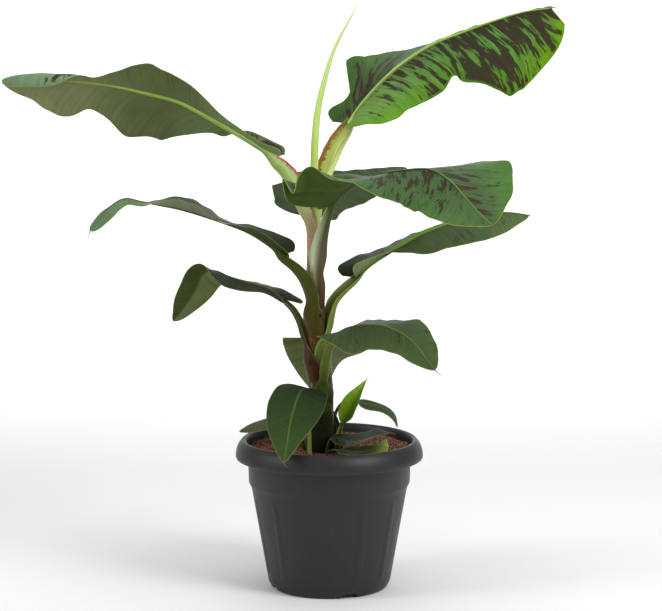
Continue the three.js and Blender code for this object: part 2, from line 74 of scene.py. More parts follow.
def along(values, share):
    # a smooth curve through evenly spaced values, read at shares from 0 to 1
    v = np.atleast_1d(np.asarray(values, float))
    if len(v) == 1:
        return np.full(np.shape(share), v[0])
    padded = np.concatenate([[2 * v[0] - v[1]], v, [2 * v[-1] - v[-2]]])
    x = np.clip(share, 0, 1) * (len(v) - 1)
    i = np.clip(x.astype(int), 0, len(v) - 2)
    t = x - i
    a, b, c, d = padded[i], padded[i + 1], padded[i + 2], padded[i + 3]
    cube = 3 * b - a - 3 * c + d
    return 0.5 * (2 * b + (c - a) * t + (2 * a - 5 * b + 4 * c - d) * t**2 + cube * t**3)


def readAt(at, places, rows):
    # rows of numbers known at rising places, read between them on straight lines
    return np.stack([np.interp(at, places, column) for column in np.asarray(rows).T], -1)


def spread(path, count):
    # the smooth curve through the path's points, as points the same distance apart, and its length
    p = np.asarray(path, float)
    fine = np.linspace(0, 1, 24 * (len(p) - 1) + 1)
    curve = np.stack([along(p[:, k], fine) for k in range(3)], -1)
    run = np.concatenate([[0], np.cumsum(np.linalg.norm(np.diff(curve, axis=0), axis=1))])
    return readAt(np.linspace(0, run[-1], count), run, curve), run[-1]


def frames(points, first):
    # tangents, and a normal carried along them without twist from a first direction
    tangents = unit(np.gradient(points, axis=0))
    normals = np.zeros_like(points)
    carried = np.asarray(first, float)
    for i, tangent in enumerate(tangents):
        carried = squared(carried, tangent)
        normals[i] = carried
    return tangents, normals


def ringsRound(middle, radius, angle, first, second):
    # rings of points round each middle: radius times (cos a times the first direction + sin a times the second)
    return middle[:, None] + radius[..., None] * (
        np.cos(angle)[..., None] * first[:, None] + np.sin(angle)[..., None] * second[:, None]
    )


def gridFaces(rows, columns, wrap=False):
    # quads of a grid of rows x columns points, closed round its columns if wrap
    i = np.arange(rows - 1)[:, None] * columns
    j = np.arange(columns if wrap else columns - 1)
    k = (j + 1) % columns
    return np.stack([i + j, i + k, i + k + columns, i + j + columns], -1).reshape(-1, 4)


def fan(ring, centre, flip=False):
    # triangles from a ring of points to one point
    turned = np.roll(ring, -1)
    sides = (turned, ring) if flip else (ring, turned)
    return np.stack([*sides, np.full_like(ring, centre)], -1)


def tube(rings):
    # a closed skin over rings of points, rows x around x 3, with a fan at each end
    rows, around = rings.shape[:2]
    ends = rings[[0, -1]].mean(1)
    points = np.concatenate([rings.reshape(-1, 3), ends])
    ring, end = np.arange(around), rows * around
    caps = np.concatenate([fan(ring, end, True), fan(ring + end - around, end + 1)])
    return points, [gridFaces(rows, around, True), caps]


def addPiece(name, made, finish, stands=()):
    # a mesh from arrays: points, sets of faces, and the numbers and colours of each point that its finish reads
    points, faceSets, fields, paints = (*made, {}, {})[:4]
    mesh = bpy.data.meshes.new(name)
    mesh.vertices.add(len(points))
    mesh.vertices.foreach_set("co", np.asarray(points, np.float32).ravel())
    corners = np.concatenate([faces.ravel() for faces in faceSets])
    counts = np.concatenate([np.full(len(faces), faces.shape[1]) for faces in faceSets])
    mesh.loops.add(len(corners))
    mesh.loops.foreach_set("vertex_index", corners.astype(np.int32))
    mesh.polygons.add(len(counts))
    mesh.polygons.foreach_set("loop_start", (np.cumsum(counts) - counts).astype(np.int32))
    mesh.polygons.foreach_set("use_smooth", np.ones(len(counts), bool))
    mesh.update(calc_edges=True)
    for field, values in fields.items():
        layer = mesh.attributes.new(field, "FLOAT", "POINT")
        layer.data.foreach_set("value", np.asarray(values, np.float32).ravel())
    for field, colours in paints.items():
        layer = mesh.attributes.new(field, "FLOAT_COLOR", "POINT")
        layer.data.foreach_set("color", np.c_[colours, np.ones(len(colours))].astype(np.float32).ravel())
    mesh.materials.append(finish)
    piece = bpy.data.objects.new(name, mesh)
    bpy.context.scene.collection.objects.link(piece)
    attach(piece, "root")
    if stands:
        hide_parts(*stands)


# finishes

class Socket:
    # one output of a finish, so that shader maths reads as plain arithmetic
    def __init__(self, finish, link):
        self.finish = finish
        self.link = link

    def math(self, operation, *others):
        return self.finish.node("Math", {"operation": operation}, dict(enumerate((self, *others))))

    def __add__(self, other):
        return self.math("ADD", other)

    def __sub__(self, other):
        return self.math("SUBTRACT", other)

    def __rsub__(self, other):
        return (self * -1) + other

    def __mul__(self, other):
        return self.math("MULTIPLY", other)

    def __truediv__(self, other):
        return self.math("DIVIDE", other)

    def __abs__(self):
        return self.math("ABSOLUTE")

    __radd__ = __add__
    __rmul__ = __mul__

    def step(self, low, high):
        # 0 at low and 1 at high, smooth between; low may be the larger
        settings = {"interpolation_type": "SMOOTHSTEP"}
        sockets = {"Value": self, "From Min": min(low, high), "From Max": max(low, high)}
        made = self.finish.node("MapRange", settings, sockets)
        return made if low < high else 1 - made


class Finish:
    # a material under construction
    def __init__(self, name):
        self.material = bpy.data.materials.new(name)
        self.material.use_nodes = True
        self.tree = self.material.node_tree
        self.tree.nodes.clear()

    def node(self, kind, settings=None, sockets=None, out=0):
        # any node, from its kind, its settings and the values or links of its sockets
        made = self.tree.nodes.new("ShaderNode" + kind)
        for key, value in (settings or {}).items():
            setattr(made, key, value)
        for key, value in (sockets or {}).items():
            if isinstance(value, Socket):
                self.tree.links.new(value.link, made.inputs[key])
            else:
                made.inputs[key].default_value = value
        return Socket(self, made.outputs[out]) if len(made.outputs) else None

    def field(self, name):
        return self.node("Attribute", {"attribute_name": name}, out="Fac")

    def paint(self, name):
        return self.node("Attribute", {"attribute_name": name}, out="Color")

    def place(self):
        return self.node("TexCoord", out="Object")

    def vector(self, x, y, z):
        return self.node("CombineXYZ", None, {0: x, 1: y, 2: z})

    def noise(self, where, scale, detail=3, roughness=0.55):
        sockets = {"Vector": where, "Scale": scale, "Detail": detail, "Roughness": roughness}
        return self.node("TexNoise", None, sockets, out=0)

    def mix(self, share, low, high, blend="MIX"):
        def colour(value):
            return value if isinstance(value, Socket) else (*value, 1)
        sockets = {0: share, 6: colour(low), 7: colour(high)}
        return self.node("Mix", {"data_type": "RGBA", "blend_type": blend}, sockets, out=2)

    def shaded(self, colour, shade):
        return self.mix(1.0, colour, self.vector(shade, shade, shade), "MULTIPLY")

    def bump(self, height, distance, strength=1.0):
        return self.node("Bump", None, {"Height": height, "Distance": distance, "Strength": strength})

    def close(self, colour, roughness, normal=None, **constants):
        # the shader and the output; constants are set on the shader's own sockets
        sockets = {"Base Color": colour, "Roughness": roughness}
        if normal is not None:
            sockets["Normal"] = normal
        sockets.update({key.replace("_", " "): value for key, value in constants.items()})
        surface = self.node("BsdfPrincipled", None, sockets)
        self.node("OutputMaterial", None, {"Surface": surface})
        return self.material


# main stem

stem = dict(
    path=[
        (-13, 12, 217.3), (-14, 10, 325), (-16, 10, 382), (-21, 9, 430), (-23, 8, 463), (-24, 8, 503),
        (-25, 8, 543), (-27, 7, 583), (-29, 6, 606),
    ],
    radii=[20, 20, 19.5, 18, 17, 16, 14, 12.5, 10.5],
    core=[0.4, 2.2, 2.6, 3.1, 3.1, 3.1, 3.1],  # how far the inner stem lies under its sheaths
    colours=[
        (0.012, 0.011, 0.007), (0.014, 0.012, 0.007), (0.028, 0.016, 0.008), (0.04, 0.018, 0.008),
        (0.08, 0.05, 0.02), (0.26, 0.20, 0.09), (0.34, 0.36, 0.12),
    ],
)
stemLine = spread(stem["path"], 160)[0]
stemWide = along(stem["radii"], np.linspace(0, 1, 160))


def stemAt(height):
    # the stem's middle and radius at a height
    x, y, wide = (np.interp(height, stemLine[:, 2], known) for known in (*stemLine.T[:2], stemWide))
    return np.array([x, y, height]), wide


# leaves: the solids' own table, and what each leaf looks like

leaves = [
    dict(
        name="high_left",
        petiole=[(-30, 4, 588), (-37, -1, 606), (-47, -8, 634), (-64, -17, 668), (-88, -26, 692)],
        radii=[11, 13.5, 14.5, 13.5, 11.5],
        midrib=[
            (-88, -26, 692), (-117, -38, 712), (-145, -45, 730), (-185, -55, 754), (-232, -65, 780),
            (-281, -72, 794), (-328, -78, 805), (-376, -82, 812), (-443, -85, 817), (-502, -85, 814),
        ],
        roll=[5, 25, 60, 68, 66, 62, 60, 56, 50, 45], base=0.03, tip=0.05,
        left=dict(
            width=[20, 11, 12, 15, 24, 34, 44, 52, 31, 13, 36, 46, 42, 32],
            lift=[75, 30, 4, 5, 5, 5, 6, 13, 15],
            curl=[0, 0, 0, 0, 0, 0, 0, -10, -20, -30, -35, -45, -100, -170, -188, -188, -188],
            sweep=[-12, 0, 0, 0, 0, 0, 0, 0, 0, 0],
        ),
        right=dict(
            width=[30, 25, 27, 20, 42, 65, 66, 75, 56, 45, 66, 60, 36, 16],
            lift=[75, 78, 70, 22, 4, 0, 0, 0, 0, 0, 0, 0, 0, 0, 0, 0, 0],
            curl=[0, 0, 0, -10, 0, 10, 0],
            sweep=[-24, -4, 0, 0, 0, 0, 0, 0, 0, 0],
        ),
    ),
    dict(
        name="high_right",
        petiole=[
            (-22, 14, 585), (-21, 16, 615), (-17, 16, 642), (-6, 14, 676), (9, 10, 711), (30, 5, 743),
        ],
        radii=[10, 13, 15, 16, 15, 12],
        midrib=[
            (30, 5, 743), (51, 0, 774), (82, -10, 810), (115, -22, 839), (160, -45, 869), (207, -72, 889),
            (252, -98, 906), (296, -120, 920), (335, -135, 926),
        ],
        roll=[10, 12, 16, 22, 28, 30, 30, 30, 30, 30, 30, 30, 28], base=0.05, tip=0.1,
        left=dict(
            width=[86, 46, 88, 104, 98, 90, 86, 82, 78, 72, 66, 56, 44],
            lift=[38, 30, 24, 2, -20, -27, -30, -31, -32, -33, -34, -34, -30],
            sweep=[-26, -6, 0, -6, 0, 0, 0, 0, 0, 0, 0, 0, 0],
            corners=[[0.135, 0.04, 0.06, 44]],
        ),
        right=dict(
            width=[14, 70, 84, 76, 76, 78, 62, 76, 90, 112, 118, 107, 92],
            lift=[-10, -20, -30, -36, -38, -38, -38, -38, -38, -38, -36, -34, -30],
            sweep=[-12, 0, 0, 0, 0, 10, 14, 0, 0, 0, 0, 0, 36],
            corners=[[0.775, 0.04, 0.04, 7]],
        ),
    ),
    dict(
        name="centre",
        petiole=[(-20, -2, 485), (-19, -12, 520), (-15, -19, 558), (-7, -30, 590), (1, -42, 616)],
        radii=[10, 14, 12, 9, 7],
        midrib=[
            (1, -42, 616), (14, -58, 632), (29, -80, 647), (47, -108, 661), (74, -148, 675), (106, -188, 685),
            (149, -225, 690), (178, -250, 675), (197, -268, 655), (217, -284, 633), (238, -298, 615),
        ],
        roll=[0, 0, 0, 5, 10, 12, 12, 12, 12, 12], base=0.05, tip=0.14,
        left=dict(
            width=[30, 44, 42, 73, 82, 88, 104, 100, 77, 50],
            lift=[90, 74, 16, -6, -13, -12, 4, 8, 0],
            sweep=[-40, -45, -38, -48, -16, 0, 4, 8, 8, 0],
            corners=[[0.755, 0.06, 0.05, 14]],
        ),
        right=dict(
            width=[80, 105, 84, 62, 62, 74, 77, 70, 58, 35],
            lift=[-6, 5, 5, 2, -16, -26, -31, -18, 0],
            folds=[[0.05, 0.05, 8], [0.115, 0.018, 26], [0.15, 0.02, -14], [0.22, 0.06, 27]],
        ),
    ),
    dict(
        name="rear",
        petiole=[(-23, 22, 540), (-23, 34, 566), (-20, 45, 596)],
        radii=[8, 9, 7],
        midrib=[
            (-20, 45, 596), (-7, 90, 608), (18, 140, 621), (54, 190, 635), (93, 235, 646), (128, 270, 653),
        ],
        roll=[0], base=0.1, tip=0.3,
        left=dict(
            width=[64, 84, 83, 54, 28, 18], lift=[9, 19, 12, 9], sweep=[-25, -5, 0, 0, 0, 0],
            corners=[[0.19, 0.07, 0.05, 12]],
        ),
        right=dict(width=[34, 32, 44, 46, 40, 28], lift=[-22, -20, -10, -6], sweep=[-14, -5, 0, 0, 0, 0]),
    ),
    dict(
        name="mid_left",
        petiole=[
            (-26, 2, 440), (-26, -4, 470), (-33, -9, 495), (-44, -15, 513), (-59, -20, 528), (-73, -25, 538),
        ],
        radii=[11, 13, 13.5, 13, 12, 11.5],
        midrib=[
            (-73, -25, 538), (-98, -34, 559), (-130, -42, 579), (-178, -54, 598), (-227, -64, 614),
            (-262, -72, 622), (-291, -78, 628), (-318, -84, 633), (-344, -90, 616), (-369, -94, 584),
        ],
        roll=[5], base=0.05, tip=0.1,
        left=dict(
            width=[14, 28, 50, 52, 52, 44, 21, 26, 20],
            lift=[22, 8, 0, -8, 8, 6, -30, -35, -35],
            sweep=[-14, 0, 0, 0, 0, 0, 0, 0, 0],
        ),
        right=dict(
            width=[42, 31, 44, 51, 50, 50, 30, 24, 22],
            lift=[70, 42, 12, 22, 29, 12, -5, 5, 22],
            sweep=[-22, 0, 0, 0, 0, 0, 0, 0, 0],
        ),
    ),
    dict(
        name="low_left",
        petiole=[(-26, 8, 372), (-37, 13, 400), (-45, 19, 424), (-57, 28, 445), (-73, 40, 459)],
        radii=[7, 8, 7, 6.5, 6],
        midrib=[
            (-73, 40, 459), (-98, 63, 474), (-129, 95, 479), (-159, 122, 484), (-183, 142, 491),
            (-201, 154, 491), (-212, 160, 480), (-221, 162, 460), (-232, 162, 441), (-247, 160, 420),
            (-259, 158, 407),
        ],
        roll=[0, 0, 0, 10, 40, 45, 45, 45], base=0.05, tip=0.15,
        left=dict(
            width=[6, 12, 16, 20, 24, 26, 28, 25, 14],
            lift=[-10, -40, -55, -40, 0, 0, 0],
            sweep=[-22, -4, 0, 0, 0, 0, 0, 0, 0],
        ),
        right=dict(
            width=[26, 22, 24, 28, 32, 40, 33, 20, 12],
            lift=[26, -4, -6, -4, 0, 0, 0],
            sweep=[-38, -4, 0, 0, 0, 0, 0, 0, 0],
        ),
    ),
    dict(
        name="mid_right",
        petiole=[(-16, 4, 395), (-6, 4, 412), (-1, 8, 440), (5, 12, 460), (19, 18, 477), (42, 28, 496)],
        radii=[8, 10.5, 10.5, 10, 9.5, 9],
        midrib=[
            (42, 28, 496), (66, 38, 516), (98, 52, 535), (132, 66, 554), (153, 74, 564), (189, 90, 576),
            (237, 108, 589), (287, 122, 591), (327, 130, 586),
        ],
        roll=[20, 20, 25, 30, 30, 30, 30], base=0.05, tip=0.15,
        left=dict(
            width=[54, 62, 56, 50, 46, 44, 42, 36, 22],
            lift=[0, -20, -32, -40, -41, -40, -38],
            sweep=[-16, 0, 0, 0, 0, 0, 0, 0, 0],
        ),
        right=dict(
            width=[24, 12, 18, 36, 39, 44, 45, 34, 17],
            lift=[100, 94, 60, 5, -22, -34, -35, -35, -35, -35, -35, -33, -30],
        ),
    ),
    dict(
        name="low_right",
        petiole=[(-12, 0, 322), (-9, -14, 340), (-6, -28, 366), (0, -42, 393), (11, -55, 413)],
        radii=[6, 8, 7.5, 6.5, 5.5],
        midrib=[
            (11, -55, 413), (18, -75, 424), (32, -100, 435), (53, -128, 443), (83, -152, 445),
            (111, -168, 435), (130, -178, 421), (145, -186, 402), (160, -192, 383),
        ],
        roll=[5, 10, 15, 10, 10], base=0.06, tip=0.14,
        left=dict(
            width=[50, 50, 48, 50, 54, 51, 41, 28],
            lift=[16, 12, 0, -4, 8, 6, 0],
            sweep=[-32, -18, -6, 6, 12, 12, 6, 0],
            corners=[[0.6, 0.08, 0.1, 11]],
        ),
        right=dict(width=[30, 45, 50, 60, 50, 45, 34, 18], lift=[10, -10, -36, -34, -28, -20, -10]),
    ),
    dict(
        name="low_rear",
        petiole=[(-17, 22, 350), (-18, 38, 380), (-18, 58, 394)],
        radii=[6, 6.5, 5.5],
        midrib=[(-18, 58, 394), (-18, 85, 386), (-19, 112, 341), (-17, 120, 289)],
        roll=[0], base=0.06, tip=0.3,
        left=dict(width=[56, 58, 48, 30, 14], lift=[1, -5, -10]),
        right=dict(width=[66, 82, 42, 24, 12], lift=[-10]),
    ),
    dict(
        name="front",
        petiole=[(-18, -4, 296), (-24, -20, 316), (-34, -42, 329)],
        radii=[4.5, 5, 4],
        midrib=[
            (-34, -42, 329), (-44, -68, 329), (-53, -95, 312), (-61, -122, 284), (-65, -142, 258),
            (-70, -158, 234),
        ],
        roll=[-10], base=0.1, tip=0.3,
        left=dict(width=[34, 45, 46, 36, 20, 10], lift=[6, -3, -10]),
        right=dict(width=[24, 39, 43, 38, 26, 16], lift=[4, -3, -10]),
    ),
    dict(
        name="small_left",
        petiole=[(-38, 10, 212), (-46, 11, 240), (-57, 12, 257), (-71, 14, 267)],
        radii=[3, 3, 2.6, 2.2],
        midrib=[(-71, 14, 267), (-99, 20, 259), (-125, 25, 252), (-145, 28, 246)],
        roll=[-22], base=0.2, tip=0.4,
        left=dict(width=[12, 16, 16, 10], lift=[0]),
        right=dict(width=[14, 20, 18, 10], lift=[0]),
    ),
    dict(
        name="sucker_right",
        petiole=[(10, 28, 212), (9, 32, 245), (8, 35, 268), (18, 39, 288), (32, 43, 293), (46, 46, 290)],
        radii=[3.4, 3.2, 3, 2.8, 2.6, 2.4],
        midrib=[(46, 46, 290), (72, 54, 284), (94, 60, 274), (106, 63, 261), (111, 64, 246)],
        roll=[25], base=0.15, tip=0.35,
        left=dict(width=[10, 10, 9, 10, 6], lift=[10]),
        right=dict(width=[12, 14, 11, 11, 8], lift=[-10]),
    ),
    dict(
        name="sucker_new",
        petiole=[(13, 18, 212), (14, 19, 238), (20, 20, 260)],
        radii=[4.6, 4.2, 3.4],
        midrib=[(20, 20, 260), (31, 20, 279), (42, 18, 300), (51, 16, 317), (59, 15, 332)],
        roll=[0], base=0.2, tip=0.5, up=[-0.4, -0.9, 0.2],
        left=dict(width=[9, 17, 18, 12, 6], lift=[15], curl=[30]),
        right=dict(width=[10, 22, 19, 12, 6], lift=[25], curl=[40]),
    ),
    dict(
        name="soil_right",
        petiole=[(-4, -14, 212), (-3, -12, 230), (3, -10, 246)],
        radii=[3.6, 3.4, 3],
        midrib=[(3, -10, 246), (25, -18, 241), (47, -24, 242), (71, -30, 251), (96, -36, 256)],
        roll=[10], base=0.2, tip=0.4,
        left=dict(width=[16, 24, 26, 22, 10], lift=[5]),
        right=dict(width=[18, 27, 26, 21, 10], lift=[4]),
    ),
    dict(
        name="soil_front",
        petiole=[(-6, -26, 210), (0, -32, 226), (14, -46, 231)],
        radii=[3.2, 3, 2.6],
        midrib=[(14, -46, 231), (36, -62, 231), (61, -74, 234), (79, -82, 242), (89, -86, 256)],
        roll=[4], base=0.2, tip=0.12,
        left=dict(width=[12, 16, 20, 16, 6], lift=[10, 15, 25]),
        right=dict(width=[14, 20, 22, 22, 20], lift=[0, 0, -10, -35, -50]),
    ),
]

# Lists run evenly from a leaf's base to its tip, and a pair of lists is for its left and its right half. upper
# and under are the blade's two sides and outer its upper side towards the margin. stripe is the midrib seen
# from above, stripeWide its half width, rib the midrib from below and ribWide its share of the stalk's end.
# keel is the outside of the leaf stalk from its sheath up, left and right its flanks, hollow its channel, lip
# its edges and lipWide their share of each side. turned is by how many degrees the stalk opens to one side.
# blotch gives how much is blotched beside the midrib, blotchOut towards the margin, streak how drawn out the
# blotches are, smoke how brown the green between and line how clear the pale margin. sheath is how far the
# stalk wraps down the stem, cover how far outside it, and opening by how many degrees it reaches round to each
# side, from its start down. dry is the share of the tip that is dead, and thread a dried tip, from the tip on.
plainLook = dict(
    lipWide=(0.06, 0.06), turned=0, ribWide=0.62, opening=[118, 132, 152, 170, 177], stripeWide=[1.2, 0.5],
    blotch=[0], smoke=[0], streak=24, line=0.55, dry=0,
)
looks = {
    "high_left": dict(
        upper=[
            (0.11, 0.16, 0.065), (0.08, 0.12, 0.05), (0.12, 0.19, 0.1), (0.16, 0.25, 0.13), (0.13, 0.21, 0.11),
        ],
        under=[
            (0.15, 0.23, 0.085), (0.12, 0.165, 0.065), (0.075, 0.095, 0.034), (0.1, 0.125, 0.048),
            (0.17, 0.195, 0.085), (0.17, 0.21, 0.08),
        ],
        stripe=[(0.25, 0.36, 0.12), (0.2, 0.3, 0.1)], stripeWide=[1.5, 0.5],
        rib=[(0.28, 0.42, 0.12), (0.22, 0.34, 0.06), (0.23, 0.31, 0.06), (0.18, 0.22, 0.07)], ribWide=0.4,
        keel=[
            (0.52, 0.28, 0.17), (0.54, 0.32, 0.2), (0.54, 0.36, 0.22), (0.44, 0.56, 0.21), (0.32, 0.48, 0.14),
        ],
        left=[(0.52, 0.28, 0.17), (0.54, 0.32, 0.2), (0.54, 0.38, 0.22), (0.36, 0.48, 0.15), (0.28, 0.4, 0.12)],
        right=[(0.54, 0.3, 0.18), (0.58, 0.36, 0.21), (0.58, 0.4, 0.23), (0.5, 0.66, 0.25), (0.36, 0.55, 0.16)],
        hollow=[(0.4, 0.4, 0.12), (0.46, 0.56, 0.16), (0.42, 0.56, 0.16)],
        lip=[(0.5, 0.44, 0.22), (0.5, 0.44, 0.22), (0.46, 0.1, 0.08), (0.4, 0.1, 0.08)], lipWide=(0.26, 0.3),
        turned=28, blotch=([0.6, 0.4, 0.2, 0.1, 0.1, 0.2, 0.95, 0.2, 0.1], [0.95, 0.9, 0.1, 0.1]),
        smoke=([0.4, 0.1, 0.1], [0.5, 0]), sheath=150, cover=-2,
    ),
    "high_right": dict(
        # the right half's much lighter green is partly its own yellower green and partly painted light shining
        # through the thin blade
        upper=(
            [(0.065, 0.12, 0.035), (0.06, 0.1, 0.035), (0.08, 0.11, 0.055)],
            [
                (0.15, 0.27, 0.06), (0.14, 0.28, 0.065), (0.11, 0.29, 0.05), (0.11, 0.3, 0.04),
                (0.11, 0.27, 0.03),
            ],
        ),
        outer=(
            [(0.05, 0.13, 0.018), (0.045, 0.1, 0.024), (0.08, 0.11, 0.05)],
            [(0.11, 0.3, 0.012), (0.1, 0.27, 0.012), (0.11, 0.27, 0.02), (0.1, 0.26, 0.006), (0.12, 0.28, 0)],
        ),
        under=[(0.12, 0.19, 0.06), (0.1, 0.17, 0.05)],
        stripe=[(0.42, 0.62, 0.12), (0.38, 0.66, 0.14), (0.3, 0.56, 0.08), (0.26, 0.48, 0.07)],
        stripeWide=[5, 2.6, 1], rib=[(0.35, 0.42, 0.14), (0.2, 0.3, 0.09)],
        keel=[(0.46, 0.4, 0.14), (0.56, 0.56, 0.16), (0.6, 0.7, 0.2), (0.56, 0.6, 0.18), (0.26, 0.28, 0.06)],
        left=[(0.46, 0.38, 0.14), (0.56, 0.54, 0.18), (0.7, 0.84, 0.28), (0.6, 0.72, 0.24)],
        right=[(0.44, 0.34, 0.12), (0.5, 0.46, 0.14), (0.46, 0.44, 0.11), (0.2, 0.2, 0.045)],
        hollow=[(0.74, 0.84, 0.26), (0.86, 0.98, 0.36), (0.84, 0.96, 0.3), (0.36, 0.4, 0.1)],
        lip=[(0.5, 0.3, 0.1), (0.62, 0.2, 0.07), (0.6, 0.2, 0.07), (0.5, 0.26, 0.1)], lipWide=(0.02, 0.3),
        turned=46, blotch=([0.62, 0.84, 0.84, 0.84], [0.4, 0.6, 0.62, 0.66, 0.74, 0.84, 0.9, 1]),
        blotchOut=([0.2, 0.45, 0.7, 0.8], [0.25, 0.34, 0.42, 0.55, 0.76, 0.8, 0.66, 0.6]), streak=20,
        smoke=([0.7, 0.9, 0.9], [0.2, 0.6, 0.95, 0.8, 0.7]), ribWide=0.42, sheath=140, cover=-2.5,
        thread=[(9, -2, 3), (13, -3, 10)],
    ),
    "centre": dict(
        upper=(
            [
                (0.04, 0.08, 0.024), (0.04, 0.075, 0.028), (0.055, 0.1, 0.04), (0.06, 0.12, 0.042),
                (0.055, 0.11, 0.034),
            ],
            [
                (0.07, 0.12, 0.06), (0.075, 0.125, 0.06), (0.058, 0.105, 0.042), (0.055, 0.11, 0.036),
                (0.05, 0.1, 0.03),
            ],
        ),
        outer=(
            [
                (0.035, 0.08, 0.022), (0.04, 0.09, 0.03), (0.06, 0.125, 0.045), (0.06, 0.15, 0.026),
                (0.06, 0.14, 0.026),
            ],
            [
                (0.08, 0.14, 0.06), (0.07, 0.15, 0.04), (0.048, 0.12, 0.03), (0.055, 0.13, 0.03),
                (0.05, 0.12, 0.028),
            ],
        ),
        under=[(0.046, 0.078, 0.012), (0.052, 0.084, 0.013), (0.1, 0.14, 0.045), (0.1, 0.14, 0.045)],
        stripe=[(0.12, 0.22, 0.07), (0.12, 0.26, 0.05), (0.11, 0.23, 0.05)], stripeWide=[3.2, 2.4, 1.2],
        rib=[(0.048, 0.072, 0.01), (0.05, 0.075, 0.012)],
        keel=[
            (0.04, 0.012, 0.002), (0.06, 0.016, 0.002), (0.08, 0.03, 0.008), (0.15, 0.11, 0.055),
            (0.05, 0.07, 0.008),
        ],
        # the pale left flank is partly the stalk's own whitish stripe and partly painted light on its lit side,
        # with a painted white highlight
        left=[
            (0.04, 0.014, 0.003), (0.2, 0.12, 0.04), (0.58, 0.64, 0.34), (0.62, 0.7, 0.44), (0.08, 0.12, 0.02),
        ],
        right=[
            (0.04, 0.012, 0.003), (0.05, 0.014, 0.002), (0.032, 0.012, 0.002), (0.03, 0.02, 0.004),
            (0.028, 0.044, 0.004),
        ],
        lip=[(0.1, 0.06, 0.03), (0.34, 0.2, 0.09), (0.6, 0.5, 0.24), (0.56, 0.5, 0.24)], lipWide=(0.13, 0.13),
        blotch=([0.45, 0.5, 0.7, 0.72, 0.68, 0.6], [0.6, 0.72, 0.76, 0.76, 0.6, 0.3]),
        blotchOut=([0.25, 0.3, 0.35, 0.25, 0.1], [0.3, 0.4, 0.42, 0.46, 0.4, 0.1]), streak=40,
        smoke=([0.4, 0.6, 0.95, 0.95, 0.9], [0.3, 0.3, 0.3, 0.15]), line=0.9, sheath=190, cover=-0.9,
        thread=[(1, 0, -8), (1, 0, -22)],
    ),
    "rear": dict(
        upper=[(0.028, 0.052, 0.013), (0.028, 0.05, 0.013)], under=[(0.026, 0.042, 0.01)],
        stripe=[(0.1, 0.2, 0.05)], rib=[(0.1, 0.14, 0.05)], keel=[(0.1, 0.05, 0.02), (0.14, 0.14, 0.04)],
        lip=[(0.3, 0.28, 0.1)], blotch=[0.3], smoke=[0.3], sheath=170, cover=-0.9,
    ),
    "mid_left": dict(
        upper=(
            [(0.05, 0.075, 0.03), (0.08, 0.12, 0.055), (0.1, 0.15, 0.07), (0.12, 0.2, 0.09), (0.12, 0.2, 0.09)],
            [
                (0.04, 0.06, 0.024), (0.035, 0.055, 0.024), (0.04, 0.055, 0.03), (0.045, 0.07, 0.034),
                (0.12, 0.2, 0.09),
            ],
        ),
        under=[
            (0.028, 0.042, 0.005), (0.034, 0.05, 0.006), (0.12, 0.15, 0.075), (0.17, 0.22, 0.1),
            (0.15, 0.2, 0.09),
        ],
        stripe=[(0.1, 0.17, 0.04), (0.16, 0.26, 0.07)], stripeWide=[1.6, 0.8],
        rib=[(0.048, 0.068, 0.007), (0.1, 0.14, 0.045)], ribWide=0.55,
        keel=[
            (0.05, 0.012, 0.003), (0.06, 0.016, 0.003), (0.07, 0.026, 0.004), (0.064, 0.042, 0.005),
            (0.054, 0.058, 0.006), (0.05, 0.068, 0.007),
        ],
        left=[
            (0.05, 0.012, 0.003), (0.06, 0.022, 0.005), (0.06, 0.036, 0.008), (0.06, 0.055, 0.014),
            (0.055, 0.07, 0.01),
        ],
        right=[
            (0.03, 0.008, 0.002), (0.035, 0.012, 0.003), (0.06, 0.04, 0.006), (0.07, 0.09, 0.01),
            (0.06, 0.09, 0.008),
        ],
        lip=[(0.38, 0.3, 0.14)], lipWide=(0.07, 0.07), opening=[116, 142, 168, 176, 177],
        blotch=[0.2, 0.3, 0.3, 0.2, 0.1], sheath=185, cover=-0.3, thread=[(-2, 0, -9), (0, 0, -25)],
    ),
    "low_left": dict(
        upper=[(0.034, 0.045, 0.022), (0.032, 0.042, 0.02), (0.036, 0.045, 0.022), (0.04, 0.06, 0.02)],
        under=(
            [(0.044, 0.062, 0.014), (0.046, 0.068, 0.014), (0.06, 0.085, 0.022)],
            [(0.1, 0.13, 0.03), (0.14, 0.18, 0.06), (0.16, 0.2, 0.07)],
        ),
        stripe=[(0.1, 0.13, 0.045)], stripeWide=[1.4, 0.6], rib=[(0.07, 0.08, 0.018), (0.09, 0.12, 0.03)],
        keel=[
            (0.03, 0.008, 0.003), (0.05, 0.012, 0.004), (0.065, 0.03, 0.008), (0.062, 0.062, 0.009),
            (0.075, 0.085, 0.014),
        ],
        left=[
            (0.03, 0.007, 0.002), (0.06, 0.02, 0.008), (0.1, 0.06, 0.026), (0.07, 0.07, 0.012),
            (0.075, 0.085, 0.014),
        ],
        right=[
            (0.03, 0.008, 0.003), (0.045, 0.01, 0.003), (0.05, 0.02, 0.005), (0.05, 0.05, 0.008),
            (0.05, 0.06, 0.01),
        ],
        lip=[(0.32, 0.25, 0.14)], opening=[116, 138, 160, 174, 177], blotch=[0.2], sheath=120, cover=0,
        thread=[(-1, 0, -5), (-2, 0, -7)],
    ),
    "mid_right": dict(
        upper=(
            [(0.012, 0.026, 0.004), (0.013, 0.024, 0.005), (0.028, 0.044, 0.014), (0.055, 0.09, 0.034)],
            [(0.022, 0.042, 0.01), (0.036, 0.06, 0.016), (0.05, 0.085, 0.026), (0.078, 0.135, 0.042)],
        ),
        under=[(0.16, 0.2, 0.09), (0.17, 0.21, 0.095)],
        stripe=[(0.14, 0.3, 0.03), (0.12, 0.24, 0.03), (0.1, 0.18, 0.04)], stripeWide=[1.8, 1.2, 0.6],
        rib=[(0.13, 0.18, 0.05)],
        keel=[
            (0.03, 0.016, 0.004), (0.04, 0.035, 0.005), (0.08, 0.12, 0.011), (0.085, 0.14, 0.013),
            (0.065, 0.12, 0.01),
        ],
        left=[
